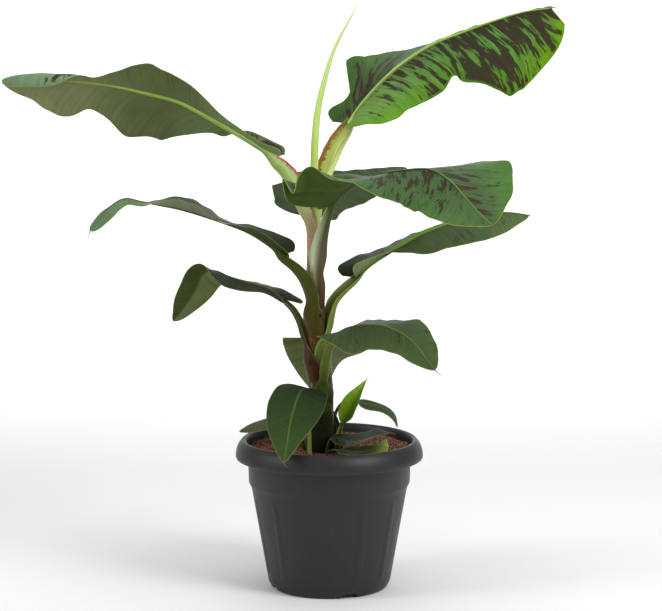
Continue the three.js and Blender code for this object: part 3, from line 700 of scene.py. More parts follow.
            (0.04, 0.016, 0.004), (0.05, 0.04, 0.008), (0.13, 0.16, 0.025), (0.19, 0.26, 0.04),
            (0.14, 0.22, 0.03),
        ],
        right=[(0.04, 0.05, 0.004), (0.05, 0.07, 0.007), (0.06, 0.1, 0.01), (0.05, 0.09, 0.008)],
        lip=[(0.36, 0.4, 0.12)], lipWide=(0.08, 0.08), blotch=([0.25, 0.2], [0.3, 0.3]), smoke=([0.3], [0.4]),
        streak=22, sheath=130, cover=0.2, thread=[(3, 0, 0), (5, 0, 4)],
    ),
    "low_right": dict(
        upper=[(0.05, 0.076, 0.03), (0.052, 0.08, 0.032), (0.052, 0.084, 0.03), (0.045, 0.084, 0.022)],
        outer=[(0.055, 0.09, 0.03), (0.055, 0.095, 0.03), (0.05, 0.1, 0.024)], under=[(0.07, 0.1, 0.04)],
        stripe=[(0.11, 0.2, 0.05), (0.12, 0.24, 0.05), (0.1, 0.2, 0.04)], stripeWide=[2, 1.8, 0.9],
        rib=[(0.12, 0.17, 0.05)],
        keel=[
            (0.016, 0.016, 0.004), (0.018, 0.02, 0.004), (0.035, 0.05, 0.006), (0.12, 0.18, 0.022),
            (0.11, 0.17, 0.03),
        ],
        left=[
            (0.016, 0.014, 0.004), (0.018, 0.016, 0.004), (0.035, 0.046, 0.006), (0.08, 0.11, 0.014),
            (0.09, 0.13, 0.02),
        ],
        right=[
            (0.014, 0.014, 0.004), (0.014, 0.015, 0.004), (0.02, 0.026, 0.004), (0.13, 0.19, 0.028),
            (0.12, 0.18, 0.03),
        ],
        lip=[(0.28, 0.28, 0.1)], blotch=([0.3, 0.3], [0.3, 0.25]), smoke=([0.4], [0.5]), streak=36, sheath=120,
        cover=0.5, thread=[(6, -2, -5), (12, -4, -10)],
    ),
    "low_rear": dict(
        upper=[(0.04, 0.06, 0.022)],
        under=([(0.14, 0.18, 0.06), (0.16, 0.2, 0.07)], [(0.2, 0.24, 0.12), (0.24, 0.28, 0.15)]),
        stripe=[(0.1, 0.15, 0.05)], rib=[(0.12, 0.16, 0.045)],
        # its near-black foot is partly the sheath's own dark brown and partly painted shade deep among the stalks
        keel=[(0.008, 0.009, 0.003), (0.012, 0.014, 0.004), (0.05, 0.06, 0.02)], lip=[(0.06, 0.06, 0.02)],
        blotch=[0.2], sheath=140, cover=-0.2,
    ),
    "front": dict(
        upper=[(0.024, 0.046, 0.013), (0.028, 0.053, 0.014), (0.038, 0.074, 0.016)], under=[(0.05, 0.08, 0.03)],
        stripe=[(0.08, 0.14, 0.035), (0.08, 0.15, 0.035), (0.07, 0.14, 0.03)], stripeWide=[2.4, 1.8, 0.8],
        # its near-black foot is partly the sheath's own dark brown and partly painted shade deep among the stalks
        rib=[(0.1, 0.15, 0.05)], keel=[(0.008, 0.008, 0.003), (0.04, 0.05, 0.012)], lip=[(0.13, 0.15, 0.05)],
        blotch=[0.1], line=0.35, sheath=90, cover=0.8, thread=[(1, -1, -3), (5, -2, -8)],
    ),
    "small_left": dict(
        upper=[(0.05, 0.075, 0.03), (0.08, 0.1, 0.04)], under=[(0.07, 0.09, 0.04)], stripe=[(0.1, 0.14, 0.05)],
        rib=[(0.1, 0.13, 0.05)], keel=[(0.05, 0.06, 0.02), (0.08, 0.1, 0.04)], lip=[(0.1, 0.12, 0.05)], dry=0.1,
    ),
    "sucker_right": dict(
        upper=[(0.04, 0.06, 0.025), (0.05, 0.075, 0.03)], under=[(0.06, 0.09, 0.035)],
        stripe=[(0.09, 0.13, 0.05)], rib=[(0.09, 0.12, 0.05)], keel=[(0.02, 0.02, 0.012), (0.04, 0.05, 0.02)],
        lip=[(0.1, 0.12, 0.05)],
    ),
    "sucker_new": dict(
        upper=[(0.19, 0.36, 0.018), (0.24, 0.44, 0.02), (0.3, 0.54, 0.06)],
        under=[(0.13, 0.24, 0.012), (0.2, 0.37, 0.016)], stripe=[(0.26, 0.42, 0.05)], rib=[(0.22, 0.36, 0.04)],
        keel=[(0.16, 0.19, 0.03), (0.16, 0.28, 0.02)], lip=[(0.2, 0.32, 0.04)], thread=[(3, 0, 3), (7, 0, 4)],
    ),
    "soil_right": dict(
        upper=[(0.01, 0.015, 0.003), (0.012, 0.018, 0.004), (0.022, 0.032, 0.01)],
        under=[(0.016, 0.025, 0.006)], stripe=[(0.035, 0.05, 0.02)], rib=[(0.06, 0.08, 0.03)],
        keel=[(0.05, 0.06, 0.02), (0.06, 0.08, 0.03)], lip=[(0.1, 0.12, 0.05)], line=0.4, dry=0.06,
        thread=[(5, -1, 0), (9, -2, -3)],
    ),
    "soil_front": dict(
        upper=[(0.03, 0.038, 0.016), (0.025, 0.03, 0.012), (0.06, 0.08, 0.02), (0.3, 0.42, 0.09)],
        under=[(0.025, 0.034, 0.012), (0.03, 0.04, 0.014), (0.2, 0.29, 0.06)],
        stripe=[(0.06, 0.08, 0.03), (0.24, 0.34, 0.09)], rib=[(0.06, 0.08, 0.03)], keel=[(0.04, 0.05, 0.02)],
        lip=[(0.12, 0.15, 0.05)],
    ),
}


# blades

bladeMake = dict(
    rowStep=3.0,  # along the midrib
    fewestRows=24,
    crowd=0.36,  # how much closer the rows stand at both ends
    columns=20,  # of each half
    skin=0.9,  # thickness at the midrib
    edge=0.45,  # thickness at the margin
    narrow=0.6,  # half width left at the ends
    ripple=0.8,  # height of the margin's small waves
    rippleLength=31,
    lesser=0.6,  # the share of a second, shorter wave
    lesserLength=13.7,
    rippleFull=50,  # the half width from which they have their full height
    outerFrom=0.25,  # shares of the half width between which the outer colours come in
    outerTo=0.95,
    dryFrom=1.2,  # the dead tip fades in between these multiples of its share
    dryTo=0.5,
)


def dealt(table, at):
    # a list of numbers or of colours, read at shares of the way along it
    table = np.asarray(table, float)
    if table.ndim == 1:
        return along(table, at)
    return np.stack([along(table[:, k], at) for k in range(table.shape[1])], -1)


def byHalf(table, at, leftHalf):
    # the same from one list for both halves of a blade, or from a pair of lists
    first, second = table if isinstance(table, tuple) else (table, table)
    isLeft = leftHalf[..., None] if np.ndim(first) == 2 else leftHalf
    return np.where(isLeft, dealt(first, at), dealt(second, at))


def bladeLine(leaf, count):
    # the midrib's points, its tangents, and its normals turned round it by the roll
    middle = spread(leaf["midrib"], count)[0]
    tangent, normal = frames(middle, leaf.get("up", zAxis))
    roll = np.radians(along(leaf["roll"], np.linspace(0, 1, count)))[:, None]
    return middle, tangent, twisted(normal, tangent, roll)


def halfPoints(leaf, half, sign, line, reach):
    # one half of a blade: at each share of the length, an arc of the half's width that starts at its lift and
    # turns by its curl, waved and folded towards the margin, and slid along the midrib by its sweep
    share, run = line["share"], line["run"]
    ends = rounded(share / leaf["base"]) * rounded((1 - share) / leaf["tip"])
    width = along(half["width"], share)
    for place, before, after, more in half.get("corners", []):
        nearness = 1 - np.abs(share - place) / np.where(share < place, before, after)
        width = width + more * np.clip(nearness, 0, 1)
    width = np.maximum(width * ends, bladeMake["narrow"])[:, None]
    lift = np.radians(along(half["lift"], share))[:, None]
    turn = np.radians(along(half.get("curl", [0]), share))[:, None]
    turn = np.where(np.abs(turn) < 1e-3, 1e-3, turn)
    sweep = along(half.get("sweep", [0]), share)[:, None]
    slope = lift + turn * reach
    wave = np.sin(run / bladeMake["rippleLength"] * 2 * np.pi + sign)
    wave = wave + bladeMake["lesser"] * np.sin(run / bladeMake["lesserLength"] + 2 * sign)
    fold = bladeMake["ripple"] * wave[:, None] * np.minimum(width / bladeMake["rippleFull"], 1) * reach**2
    for place, spreadShare, height in half.get("folds", []):
        fold = fold + height * reach**2 * np.exp(-(((share[:, None] - place) / spreadShare) ** 2))
    out = width * (np.sin(slope) - np.sin(lift)) / turn - np.sin(slope) * fold
    rise = -width * (np.cos(slope) - np.cos(lift)) / turn + np.cos(slope) * fold
    slide = sweep * ends[:, None] ** 0.35 * reach**1.5
    points = line["middle"][:, None] + sign * out[..., None] * line["side"][:, None]
    points = points + rise[..., None] * line["normal"][:, None] + slide[..., None] * line["tangent"][:, None]
    return points, width * reach


def bladeSheet(leaf):
    # the blade's middle surface, rows along the midrib by columns from the left margin to the right one, with
    # each point's distance from the midrib and its half's width there
    length = spread(leaf["midrib"], 2)[1]
    rows = max(int(length / bladeMake["rowStep"]), bladeMake["fewestRows"])
    share = np.linspace(0, 1, rows)
    share = share - bladeMake["crowd"] * np.sin(2 * np.pi * share) / (2 * np.pi)
    middle, tangent, normal = (readAt(share, np.linspace(0, 1, 400), known) for known in bladeLine(leaf, 400))
    tangent, normal = unit(tangent), unit(normal)
    side = np.cross(tangent, normal)
    line = dict(share=share, run=share * length, middle=middle, tangent=tangent, normal=normal, side=side)
    reach = np.linspace(0, 1, bladeMake["columns"] + 1)[1:][None]
    left, leftOff = halfPoints(leaf, leaf["left"], -1, line, reach)
    right, rightOff = halfPoints(leaf, leaf["right"], 1, line, reach)
    sheet = np.concatenate([left[:, ::-1], middle[:, None], right], 1)
    off = np.concatenate([-leftOff[:, ::-1], np.zeros((rows, 1)), rightOff], 1)
    wide = sheet.shape[1]
    half = np.where(np.arange(wide) < wide // 2, leftOff[:, -1:], rightOff[:, -1:])
    return line, sheet, off, half


def bladeSkin(sheet, off, half):
    # the sheet moved out by half its thickness on both sides, and walls round its rim; the thickness falls from
    # the midrib to the margin as the root of the share that is left
    rows, wide = off.shape
    count = rows * wide
    outward = unit(np.cross(np.gradient(sheet, axis=1), np.gradient(sheet, axis=0)))
    thick = bladeMake["edge"] + (bladeMake["skin"] - bladeMake["edge"]) * (1 - np.abs(off / half)) ** 0.5
    upper = sheet + outward * thick[..., None] / 2
    lower = sheet - outward * thick[..., None] / 2
    points = np.concatenate([upper.reshape(-1, 3), lower.reshape(-1, 3)]) * mm
    top = gridFaces(rows, wide)
    rim = np.concatenate([
        np.arange(wide - 1), np.arange(rows - 1) * wide + wide - 1,
        (rows - 1) * wide + np.arange(wide - 1, 0, -1), np.arange(rows - 1, 0, -1) * wide,
    ])
    ahead = np.roll(rim, -1)
    walls = np.stack([rim, ahead, ahead + count, rim + count], -1)
    return points, [top, top[:, ::-1] + count, walls[:, ::-1]]


def blade(leaf, look):
    # a blade's skin, and what its finish reads at each point, first on the upper side and then on the under
    # side: each number or colour is read from the look's list at the point's share of the length
    line, sheet, off, half = bladeSheet(leaf)
    shares = np.broadcast_to(line["share"][:, None], off.shape)
    leftHalf = off < 0
    across = np.abs(off) / half

    def read(table):
        return byHalf(table, shares, leftHalf)

    def twice(values):
        return np.tile(np.broadcast_to(values, off.shape).ravel(), 2)

    blotch = read(look["blotch"]) * (1 - across) + read(look.get("blotchOut", look["blotch"])) * across
    smoke = read(look["smoke"]) * (1 - 0.6 * across)
    dryFrom, dryTo = (1 - look["dry"] * bladeMake[key] for key in ("dryFrom", "dryTo"))
    dry = ease(dryFrom - 1e-3, dryTo + 1e-3, shares) * (look["dry"] > 0)
    fields = {
        "off": twice(off) * mm, "run": twice(line["run"][:, None]) * mm, "half": twice(half) * mm,
        "stripe": twice(dealt(look["stripeWide"], shares)) * mm,
        "blotch": twice(blotch), "smoke": twice(smoke), "dry": twice(dry), "seed": twice(leaf["seed"]),
        "streak": twice(look["streak"]), "line": twice(look["line"]), "under": np.repeat([0.0, 1.0], off.size),
    }
    upper = read(look["upper"])
    outer = read(look.get("outer", look["upper"]))
    upper = upper + (outer - upper) * ease(bladeMake["outerFrom"], bladeMake["outerTo"], across)[..., None]
    paint = np.concatenate([upper.reshape(-1, 3), read(look["under"]).reshape(-1, 3)])
    stripe = np.tile(dealt(look["stripe"], shares).reshape(-1, 3), (2, 1))
    return *bladeSkin(sheet, off, half), fields, dict(paint=paint, stripePaint=stripe)


# leaf stalks: a sheath round the stem, an open channel, then the midrib under the blade

stalkMake = dict(
    step=2.6,  # between rings
    outer=21,  # points of a ring over its outside
    inner=15,  # and back along its channel
    ribEnd=0.7,  # the midrib's radius at the leaf's tip
    sheathStep=26,  # between the heights where the sheath follows the stem
    sheathTop=18,  # how far below the stalk's start the last of them stays
    kneeSoft=9,  # how far from the blade's base the bend is rounded off
    wideAt=[0, 18, 45, 100, 160],  # distances below the free stalk at which the sheath's opening is given
    close=22,  # by how many degrees the stalk closes up to the blade
    flesh=[0.1, 0.45, 0.4],  # share of the radius in the sheath, and what the stalk and then the midrib add
    ragged=0.02,  # how uneven the edges are, and over what length
    raggedLength=3.1,
    sunk=0.3,  # how far the midrib is set into the blade, beside the same share of its radius
    ribFade=30,  # the length over which the stalk becomes the midrib
)


def stalkTrack(leaf, look):
    # one line up the stem inside the sheath, along the stalk and under the blade, and where its stretches meet
    petiole = np.array(leaf["petiole"], float)
    path, start = petiole, petiole[0, 2]
    if "sheath" in look:
        foot = max(start - look["sheath"], stem["path"][0][2])
        heights = np.arange(foot, start - stalkMake["sheathTop"], stalkMake["sheathStep"])
        path = np.concatenate([[stemAt(height)[0] for height in heights], petiole])
    lower, kneeAt = spread(path, 200)
    upper, ribLength = spread(leaf["midrib"], 200)
    whole = kneeAt + ribLength
    run = np.linspace(0, whole, int(whole / stalkMake["step"]))
    place = np.concatenate([np.linspace(0, kneeAt, 200), kneeAt + np.linspace(0, ribLength, 200)[1:]])
    points = readAt(run, place, np.concatenate([lower, upper[1:]]))
    knee = np.exp(-(((run - kneeAt) / stalkMake["kneeSoft"]) ** 2))[:, None]
    padded = np.pad(points, ((3, 3), (0, 0)), "edge")
    soft = np.stack([np.convolve(column, np.ones(7) / 7, "valid") for column in padded.T], -1)
    points = points + knee * (soft - points)
    freeLength = np.linalg.norm(np.diff(petiole, axis=0), axis=1).sum()
    freeAt = max(kneeAt - freeLength + 0.6 * np.linalg.norm(petiole[1] - petiole[0]), 0)
    tangent = unit(np.gradient(points, axis=0))
    return dict(run=run, points=points, tangent=tangent, freeAt=freeAt, kneeAt=kneeAt, ribLength=ribLength)


def keelSide(leaf, look, track):
    # the keel's direction: the blade's underside along the midrib, carried back down the stalk without twist,
    # then turned to face away from the stem over the sheath, and turned once more by the look's own angle
    run, tangent, freeAt, kneeAt = (track[key] for key in ("run", "tangent", "freeAt", "kneeAt"))
    down = -readAt(run - kneeAt, np.linspace(0, track["ribLength"], 200), bladeLine(leaf, 200)[2])
    first = np.argmax(run >= kneeAt)
    carried = down[first]
    for i in range(first - 1, -1, -1):
        carried = squared(carried, tangent[i])
        down[i] = carried
    if "sheath" in look:
        i = np.searchsorted(run, freeAt)
        petiole = np.array(leaf["petiole"], float)
        outward = squared(unit((petiole[-1] - petiole[0]) * [1, 1, 0]), tangent[i])
        turn = math.atan2(np.cross(down[i], outward) @ tangent[i], down[i] @ outward)
        down = twisted(down, tangent, turn * (1 - ease(freeAt, kneeAt, run))[:, None])
    angle = math.radians(look["turned"]) * ease(freeAt - 30, freeAt + 30, run)[:, None]
    angle = angle * (1 - ease(kneeAt - 6, kneeAt + 26, run))[:, None]
    return twisted(down, tangent, angle)


def stalk(leaf, look):
    # rings round the track: an open C in section, out along the outer skin and back along the channel, which
    # hugs the stem as a sheath, narrows into the stalk and closes to the midrib's round rib
    track = stalkTrack(leaf, look)
    run, points, freeAt, kneeAt = (track[key] for key in ("run", "points", "freeAt", "kneeAt"))
    down = keelSide(leaf, look, track)
    share = np.clip((run - freeAt) / (kneeAt - freeAt), 0, 1)
    ribShare = np.clip((run - kneeAt) / track["ribLength"], 0, 1)
    fade = ease(-0.2, 1, (run - kneeAt) / stalkMake["ribFade"] + 0.2)
    ribStart, ribEnd = look["ribWide"] * leaf["radii"][-1], stalkMake["ribEnd"]
    onRib = (ribStart - ribEnd) * (1 - ribShare) ** 0.85 + ribEnd
    radius = along(leaf["radii"], share) * (1 - fade) + onRib * fade
    if "sheath" in look:
        wrapped = np.array([stemAt(height)[1] for height in points[:, 2]]) + look["cover"]
        hug = 1 - ease(freeAt - 22, freeAt + 8, run)
        radius = radius * (1 - hug) + wrapped * hug
    opening = np.interp(np.maximum(freeAt - run, 0), stalkMake["wideAt"], look["opening"])
    opening = opening - stalkMake["close"] * ease(freeAt, kneeAt, run) - 4 * fade
    sheathFlesh, stalkFlesh, ribFlesh = stalkMake["flesh"]
    flesh = sheathFlesh + stalkFlesh * ease(freeAt - 30, freeAt + 25, run)
    flesh = flesh + ribFlesh * ease(0, 25, run - kneeAt)

    around = np.r_[np.linspace(-1, 1, stalkMake["outer"]), np.linspace(1, -1, stalkMake["inner"])][None]
    inner = (np.arange(around.size) >= stalkMake["outer"])[None]
    angle = np.radians(opening)[:, None] * around
    wall = flesh[:, None] * (0.3 + 0.7 * np.cos(np.pi / 2 * around) ** 2)
    ragged = stalkMake["ragged"] * np.sin(run / stalkMake["raggedLength"])[:, None] * (np.abs(around) > 0.9)
    reachOut = radius[:, None] * np.where(inner, 1 - wall, 1) * (1 + ragged)
    sunk = stalkMake["sunk"] * (radius + 1) * ease(0, 20, run - kneeAt)
    middle = points - sunk[:, None] * down
    skin, faceSets = tube(ringsRound(middle, reachOut, angle, down, np.cross(track["tangent"], down)) * mm)

    def flat(values):
        return np.concatenate([np.broadcast_to(values, angle.shape).ravel(), [0, 0]])

    low = np.clip(run / kneeAt, 0, 1)
    colour = stalkColour(look, around, inner, low, share, ribShare, fade)
    rough = 0.5 + 0.5 * np.sin(run / 5.3 + leaf["seed"])[:, None] * np.sin(run / 1.9)[:, None]
    lipWide = np.where(around < 0, *look["lipWide"])
    lipWide = lipWide * (0.35 + 0.65 * ease(freeAt - 20, freeAt + 25, run))[:, None]
    lipStart = 1 - lipWide * (0.75 + 0.5 * rough)
    lip = ease(lipStart, lipStart + 0.05, np.abs(around)) * (1 - fade[:, None])
    colour = colour * (1 - lip[..., None]) + dealt(look["lip"], low)[:, None] * lip[..., None]
    wrappedShare = 1 - ease(freeAt - 20, freeAt + 40, run)[:, None]
    fields = {
        "run": flat(run[:, None]) * mm, "around": flat(angle * radius[:, None]) * mm, "lip": flat(lip),
        "wrapped": flat(wrappedShare), "seed": np.full(len(skin), leaf["seed"]),
    }
    paint = np.concatenate([colour.reshape(-1, 3), colour[[0, -1]].mean(1)])
    return skin, faceSets, fields, dict(paint=paint)


def stalkColour(look, around, inner, low, share, ribShare, fade):
    # the keel and two flanks outside, the paler channel inside, and the midrib's own two colours on the blade
    keel = dealt(look["keel"], low)[:, None]
    outside = keel
    for flank, sign in (("left", -1), ("right", 1)):
        shift = dealt(look.get(flank, look["keel"]), low)[:, None] - keel
        outside = outside + ease(0.1, 0.75, sign * around)[..., None] * shift
    outside = outside + fade[:, None, None] * (dealt(look["rib"], ribShare)[:, None] - outside)
    inside = 0.6 * keel + np.array([0.10, 0.13, 0.04])
    if "hollow" in look:
        inside = dealt(look["hollow"], share)[:, None]
    inside = inside + fade[:, None, None] * (dealt(look["stripe"], ribShare)[:, None] - inside)
    return np.where(inner[..., None], inside, outside)


def limb(path, radii, colours, seed, sides=10, step=2.0, section=None):
    # a tapering round limb: a ring of its radius carried along its path
    length = spread(path, 2)[1]
    rows = max(int(length / step), 8)
    points = spread(path, rows)[0]
    share = np.linspace(0, 1, rows)
    tangent, normal = frames(points, (0.3, -1, 0.2))
    turn = np.linspace(0, 2 * np.pi, sides, endpoint=False)[None]
    radius = along(radii, share)[:, None] * (section(turn, share[:, None]) if section else 1) + 0 * turn
    skin, faceSets = tube(ringsRound(points, radius, turn, normal, np.cross(tangent, normal)) * mm)
    paint = np.repeat(dealt(colours, share), sides, 0)
    none = np.zeros(len(skin))
    fields = {
        "run": np.r_[np.repeat(share * length, sides) * mm, 0, 0],
        "around": np.r_[(turn * radius).ravel() * mm, 0, 0],
        "lip": none, "wrapped": none, "seed": none + seed,
    }
    return skin, faceSets, fields, dict(paint=np.concatenate([paint, paint[[0, -1]]]))


# finishes of the plant; scales are in waves per metre

bladeTints = dict(
    blotchDark=(0.018, 0.013, 0.007), blotchPale=(0.055, 0.034, 0.022), smoke=(0.052, 0.048, 0.026),
    margin=(0.30, 0.34, 0.11), deadDark=(0.06, 0.035, 0.016), deadPale=(0.14, 0.09, 0.045),
)
bladeGrain = dict(
    lean=0.95,  # how far a vein runs along the midrib for each step away from it
    curve=0.4,  # how much less of that is left at the margin
    fine=620,
    pleat=130,
    cloud=24,
    patch=105,
    ragged=460,
    haze=430,
    relief=0.0022,  # metres
)


def bladeFinish():
    # veins leave the midrib along it and curve out towards the margin; blotches are drawn out along them
    f = Finish("blade")
    off, run, half = f.field("off"), f.field("run"), f.field("half")
    under, dry, seed = f.field("under"), f.field("dry"), f.field("seed")
    blotch, smoke, streak = f.field("blotch"), f.field("smoke"), f.field("streak")
    reach = abs(off)
    across = reach / half
    vein = run - reach * (bladeGrain["lean"] - across * bladeGrain["curve"])

    def grain(key, stretch, shift, detail, roughness=0.55):
        # noise of its own scale along the veins, and of a lower one across them
        return f.noise(f.vector(vein * bladeGrain[key], off * stretch, seed + shift), 1.0, detail, roughness)

    fine, pleat = grain("fine", 8, 0, 2), grain("pleat", 5, 3, 2)
    cloudAt = f.vector(run * bladeGrain["cloud"], off * bladeGrain["cloud"], seed + 7)
    cloud = f.noise(cloudAt, 1.0, 4, 0.6)
    # this uses the same noises as the bump below: the pleat and cloud terms are partly painted light and shade,
    # lighter where the surface rises and darker in its dips, and partly the blade's own uneven tone; the fine
    # term is the veins' own lines
    green = f.shaded(f.paint("paint"), 0.20 + 0.50 * fine + 0.62 * pleat + 0.58 * cloud)

    # maroon blotches with ragged ends and a browner green between them, on the upper side only
    above = 1 - under
    margin = half - reach
    where = grain("patch", streak, 11, 2, 0.5) * 0.68 + grain("ragged", streak * 3.4, 17, 3, 0.6) * 0.32
    ink = (where - (0.70 - blotch * 0.30)).step(-0.008, 0.014)
    ink = ink * margin.step(0.001, 0.006) * above * blotch.step(0.02, 0.12)
    brownish = smoke * grain("haze", 9, 23, 2, 0.6).step(0.42, 0.60) * (1.15 - across) * above
    green = f.mix(brownish * 0.85, green, bladeTints["smoke"])
    green = f.mix(ink * 0.95, green, f.mix(fine, bladeTints["blotchDark"], bladeTints["blotchPale"]))

    # the midrib's stripe, a pale line along the margin, and the brown dead tip
    ribLine = (f.field("stripe") - reach).step(-0.0003, 0.0006) * above
    green = f.mix(ribLine, green, f.paint("stripePaint"))
    green = f.mix(margin.step(0.0018, 0.0005) * f.field("line"), green, bladeTints["margin"])
    green = f.mix(dry, green, f.mix(fine, bladeTints["deadDark"], bladeTints["deadPale"]))

    normal = f.bump(fine * 0.25 + pleat + cloud * 0.4, bladeGrain["relief"], 0.9)
    rough = 0.40 + 0.10 * pleat + 0.12 * under + 0.06 * fine
    return f.close(green, rough, normal, Specular_IOR_Level=0.10)


stalkTints = dict(greener=(0.8, 1.5, 0.7), freckle=(0.014, 0.008, 0.005))


def stalkFinish():
    # juicy stalk: fine lines along it, freckles, and papery edges
    f = Finish("stalk")
    run, around = f.field("run"), f.field("around")
    lip, wrapped, seed = f.field("lip"), f.field("wrapped"), f.field("seed")
    lines = f.noise(f.vector(run * 14, around * 520, seed), 1.0, 2)
    cloud = f.noise(f.vector(run * 24, around * 110, seed + 5), 1.0, 3)
    freckle = f.noise(f.vector(run * 130, around * 320, seed + 9), 1.0, 2)
    colour = f.shaded(f.paint("paint"), 0.30 + 0.66 * lines + 0.74 * cloud)
    greener = cloud.step(0.50, 0.38) * wrapped * 0.35
    colour = f.mix(greener, colour, f.mix(1.0, colour, stalkTints["greener"], "MULTIPLY"))
    colour = f.mix(freckle.step(0.66, 0.74) * wrapped * 0.7, colour, stalkTints["freckle"])
    normal = f.bump(lines * 0.6 + cloud * 0.8, 0.0010, 0.8)
    rough = 0.30 + 0.12 * lines + 0.3 * lip
    return f.close(colour, rough, normal, Specular_IOR_Level=0.12)


potTints = dict(dark=(0.010, 0.010, 0.0105), dusty=(0.022, 0.0215, 0.0215), speck=(0.3, 0.29, 0.27))


def potFinish():
    # dark moulded plastic: a fine grain, faint dust and a few scuffs
    f = Finish("potPlastic")
    where = f.place()
    grain, dust = f.noise(where, 900, 2), f.noise(where, 14, 4, 0.6)
    speck, scuff = f.noise(where, 420, 1), f.noise(where, 60, 3, 0.7)
    colour = f.mix(dust, potTints["dark"], potTints["dusty"])
    colour = f.mix(speck.step(0.79, 0.83) * 0.35, colour, potTints["speck"])
    normal = f.bump(grain * 0.6 + scuff * 0.5, 0.00035, 0.5)
    rough = 0.36 + 0.12 * dust + 0.08 * scuff
    return f.close(colour, rough, normal, Specular_IOR_Level=0.36)


# hollow is painted shade for the dips in the coir
soilTints = dict(
    hollow=(0.035, 0.017, 0.012), crumb=(0.44, 0.185, 0.115), damp=(0.10, 0.043, 0.029),
    straw=(0.30, 0.15, 0.08),
)


def soilFinish():
    # moist coir: red-brown, darker in the hollows as painted shade, with damp patches and straw-coloured bits
    f = Finish("coir")
    where = f.place()
    big, crumb, straw = f.noise(where, 60, 4, 0.6), f.noise(where, 330, 3, 0.65), f.noise(where, 700, 1)
    # the hollow tint fills the dips of the same crumb noise that makes the bump: painted shade
    colour = f.mix(crumb.step(0.32, 0.68), soilTints["hollow"], soilTints["crumb"])
    colour = f.mix(big.step(0.35, 0.65) * 0.5, colour, soilTints["damp"])
    colour = f.mix(straw.step(0.70, 0.78) * 0.6, colour, soilTints["straw"])
    normal = f.bump(crumb + straw * 0.4, 0.002, 0.9)
    return f.close(colour, 0.82 + 0.14 * crumb, normal, Specular_IOR_Level=0.12)


def bitFinish():
    # loose crumbs and fibres of coir, each of its own shade
    f = Finish("coirBits")
    shade = 0.6 + 0.8 * f.noise(f.place(), 500, 2)
    return f.close(f.shaded(f.paint("paint"), shade), 0.8 + 0.1 * shade, Specular_IOR_Level=0.12)


def rolledFinish():
    # the rolled leaf: fine lines along a pale green that clouds over gently
    f = Finish("rolledLeaf")
    run, around = f.field("run"), f.field("around")
    lines = f.noise(f.vector(run * 6, around * 1500, 0.0), 1.0, 2)
    cloud = f.noise(f.vector(run * 25, around * 60, 4.0), 1.0, 2)
    colour = f.shaded(f.paint("paint"), 0.78 + 0.26 * lines + 0.18 * cloud)
    return f.close(colour, 0.42 + 0.1 * lines, f.bump(lines, 0.0006, 0.5), Specular_IOR_Level=0.3)


# pot: a profile turned round the axis, with ribs on the lower wall and notches in the foot

pot = dict(
    around=240,
    # radius and height, up the outside from the foot, over the rim and down inside
    foot=[(0, 0), (40, 0), (84, 0), (90.5, 0.4), (93.2, 2.0), (95.6, 6.0), (98.2, 11), (99.3, 17)],
    wall=[(124.4, 160.5), (125.3, 163.6), (126.8, 166.8), (128.2, 169.4), (129.2, 172.4), (130, 205.6)],
    rim=[
        (130.6, 208.2), (133, 209.4), (146.2, 209.2), (148.8, 210.3), (150, 212.8), (149.8, 217.5),
        (148.9, 223.5), (147.0, 229.2), (144.6, 233.8), (142, 237.2), (139.9, 239.2), (138.7, 239.9),
        (137.6, 239.9), (136.9, 239.0), (136.4, 238.6), (135.6, 239.0), (134.6, 239.1), (133.6, 238.2),
    ],
    inside=[
        (132.4, 231), (128.6, 213), (127.4, 206), (126.4, 172), (121.4, 164), (95.6, 16), (93, 9.2), (60, 9),
        (0, 9),
    ],
    wallRows=34,
    ribAngles=[-73, -45, 26, 55, 107, 135, -154, -125],  # degrees from the front, to the right
    ribHalf=5.2,
    ribProud=1.1,
    ribSoft=0.9,  # how softly its sides rise
    ribFoot=24,
    ribHead=150,
    notchAngles=[20, 110, 200, 290],
    notchRadius=94,
    notchHalf=12.5,
    notchHigh=6.5,
    footInner=83,  # the notches reach in to this radius
)


def potTurns():
    # even steps round the pot, and two more at each side of each notch, so that it is cut sharply
    even = np.linspace(0, 360, pot["around"], endpoint=False)
    half = math.degrees(pot["notchHalf"] / pot["notchRadius"])
    sides = np.array([-half - 0.35, -half, half, half + 0.35])
    edges = (np.array(pot["notchAngles"])[:, None] + sides).ravel()
    return np.radians(np.unique(np.round(np.mod(np.r_[even, edges], 360), 4)))


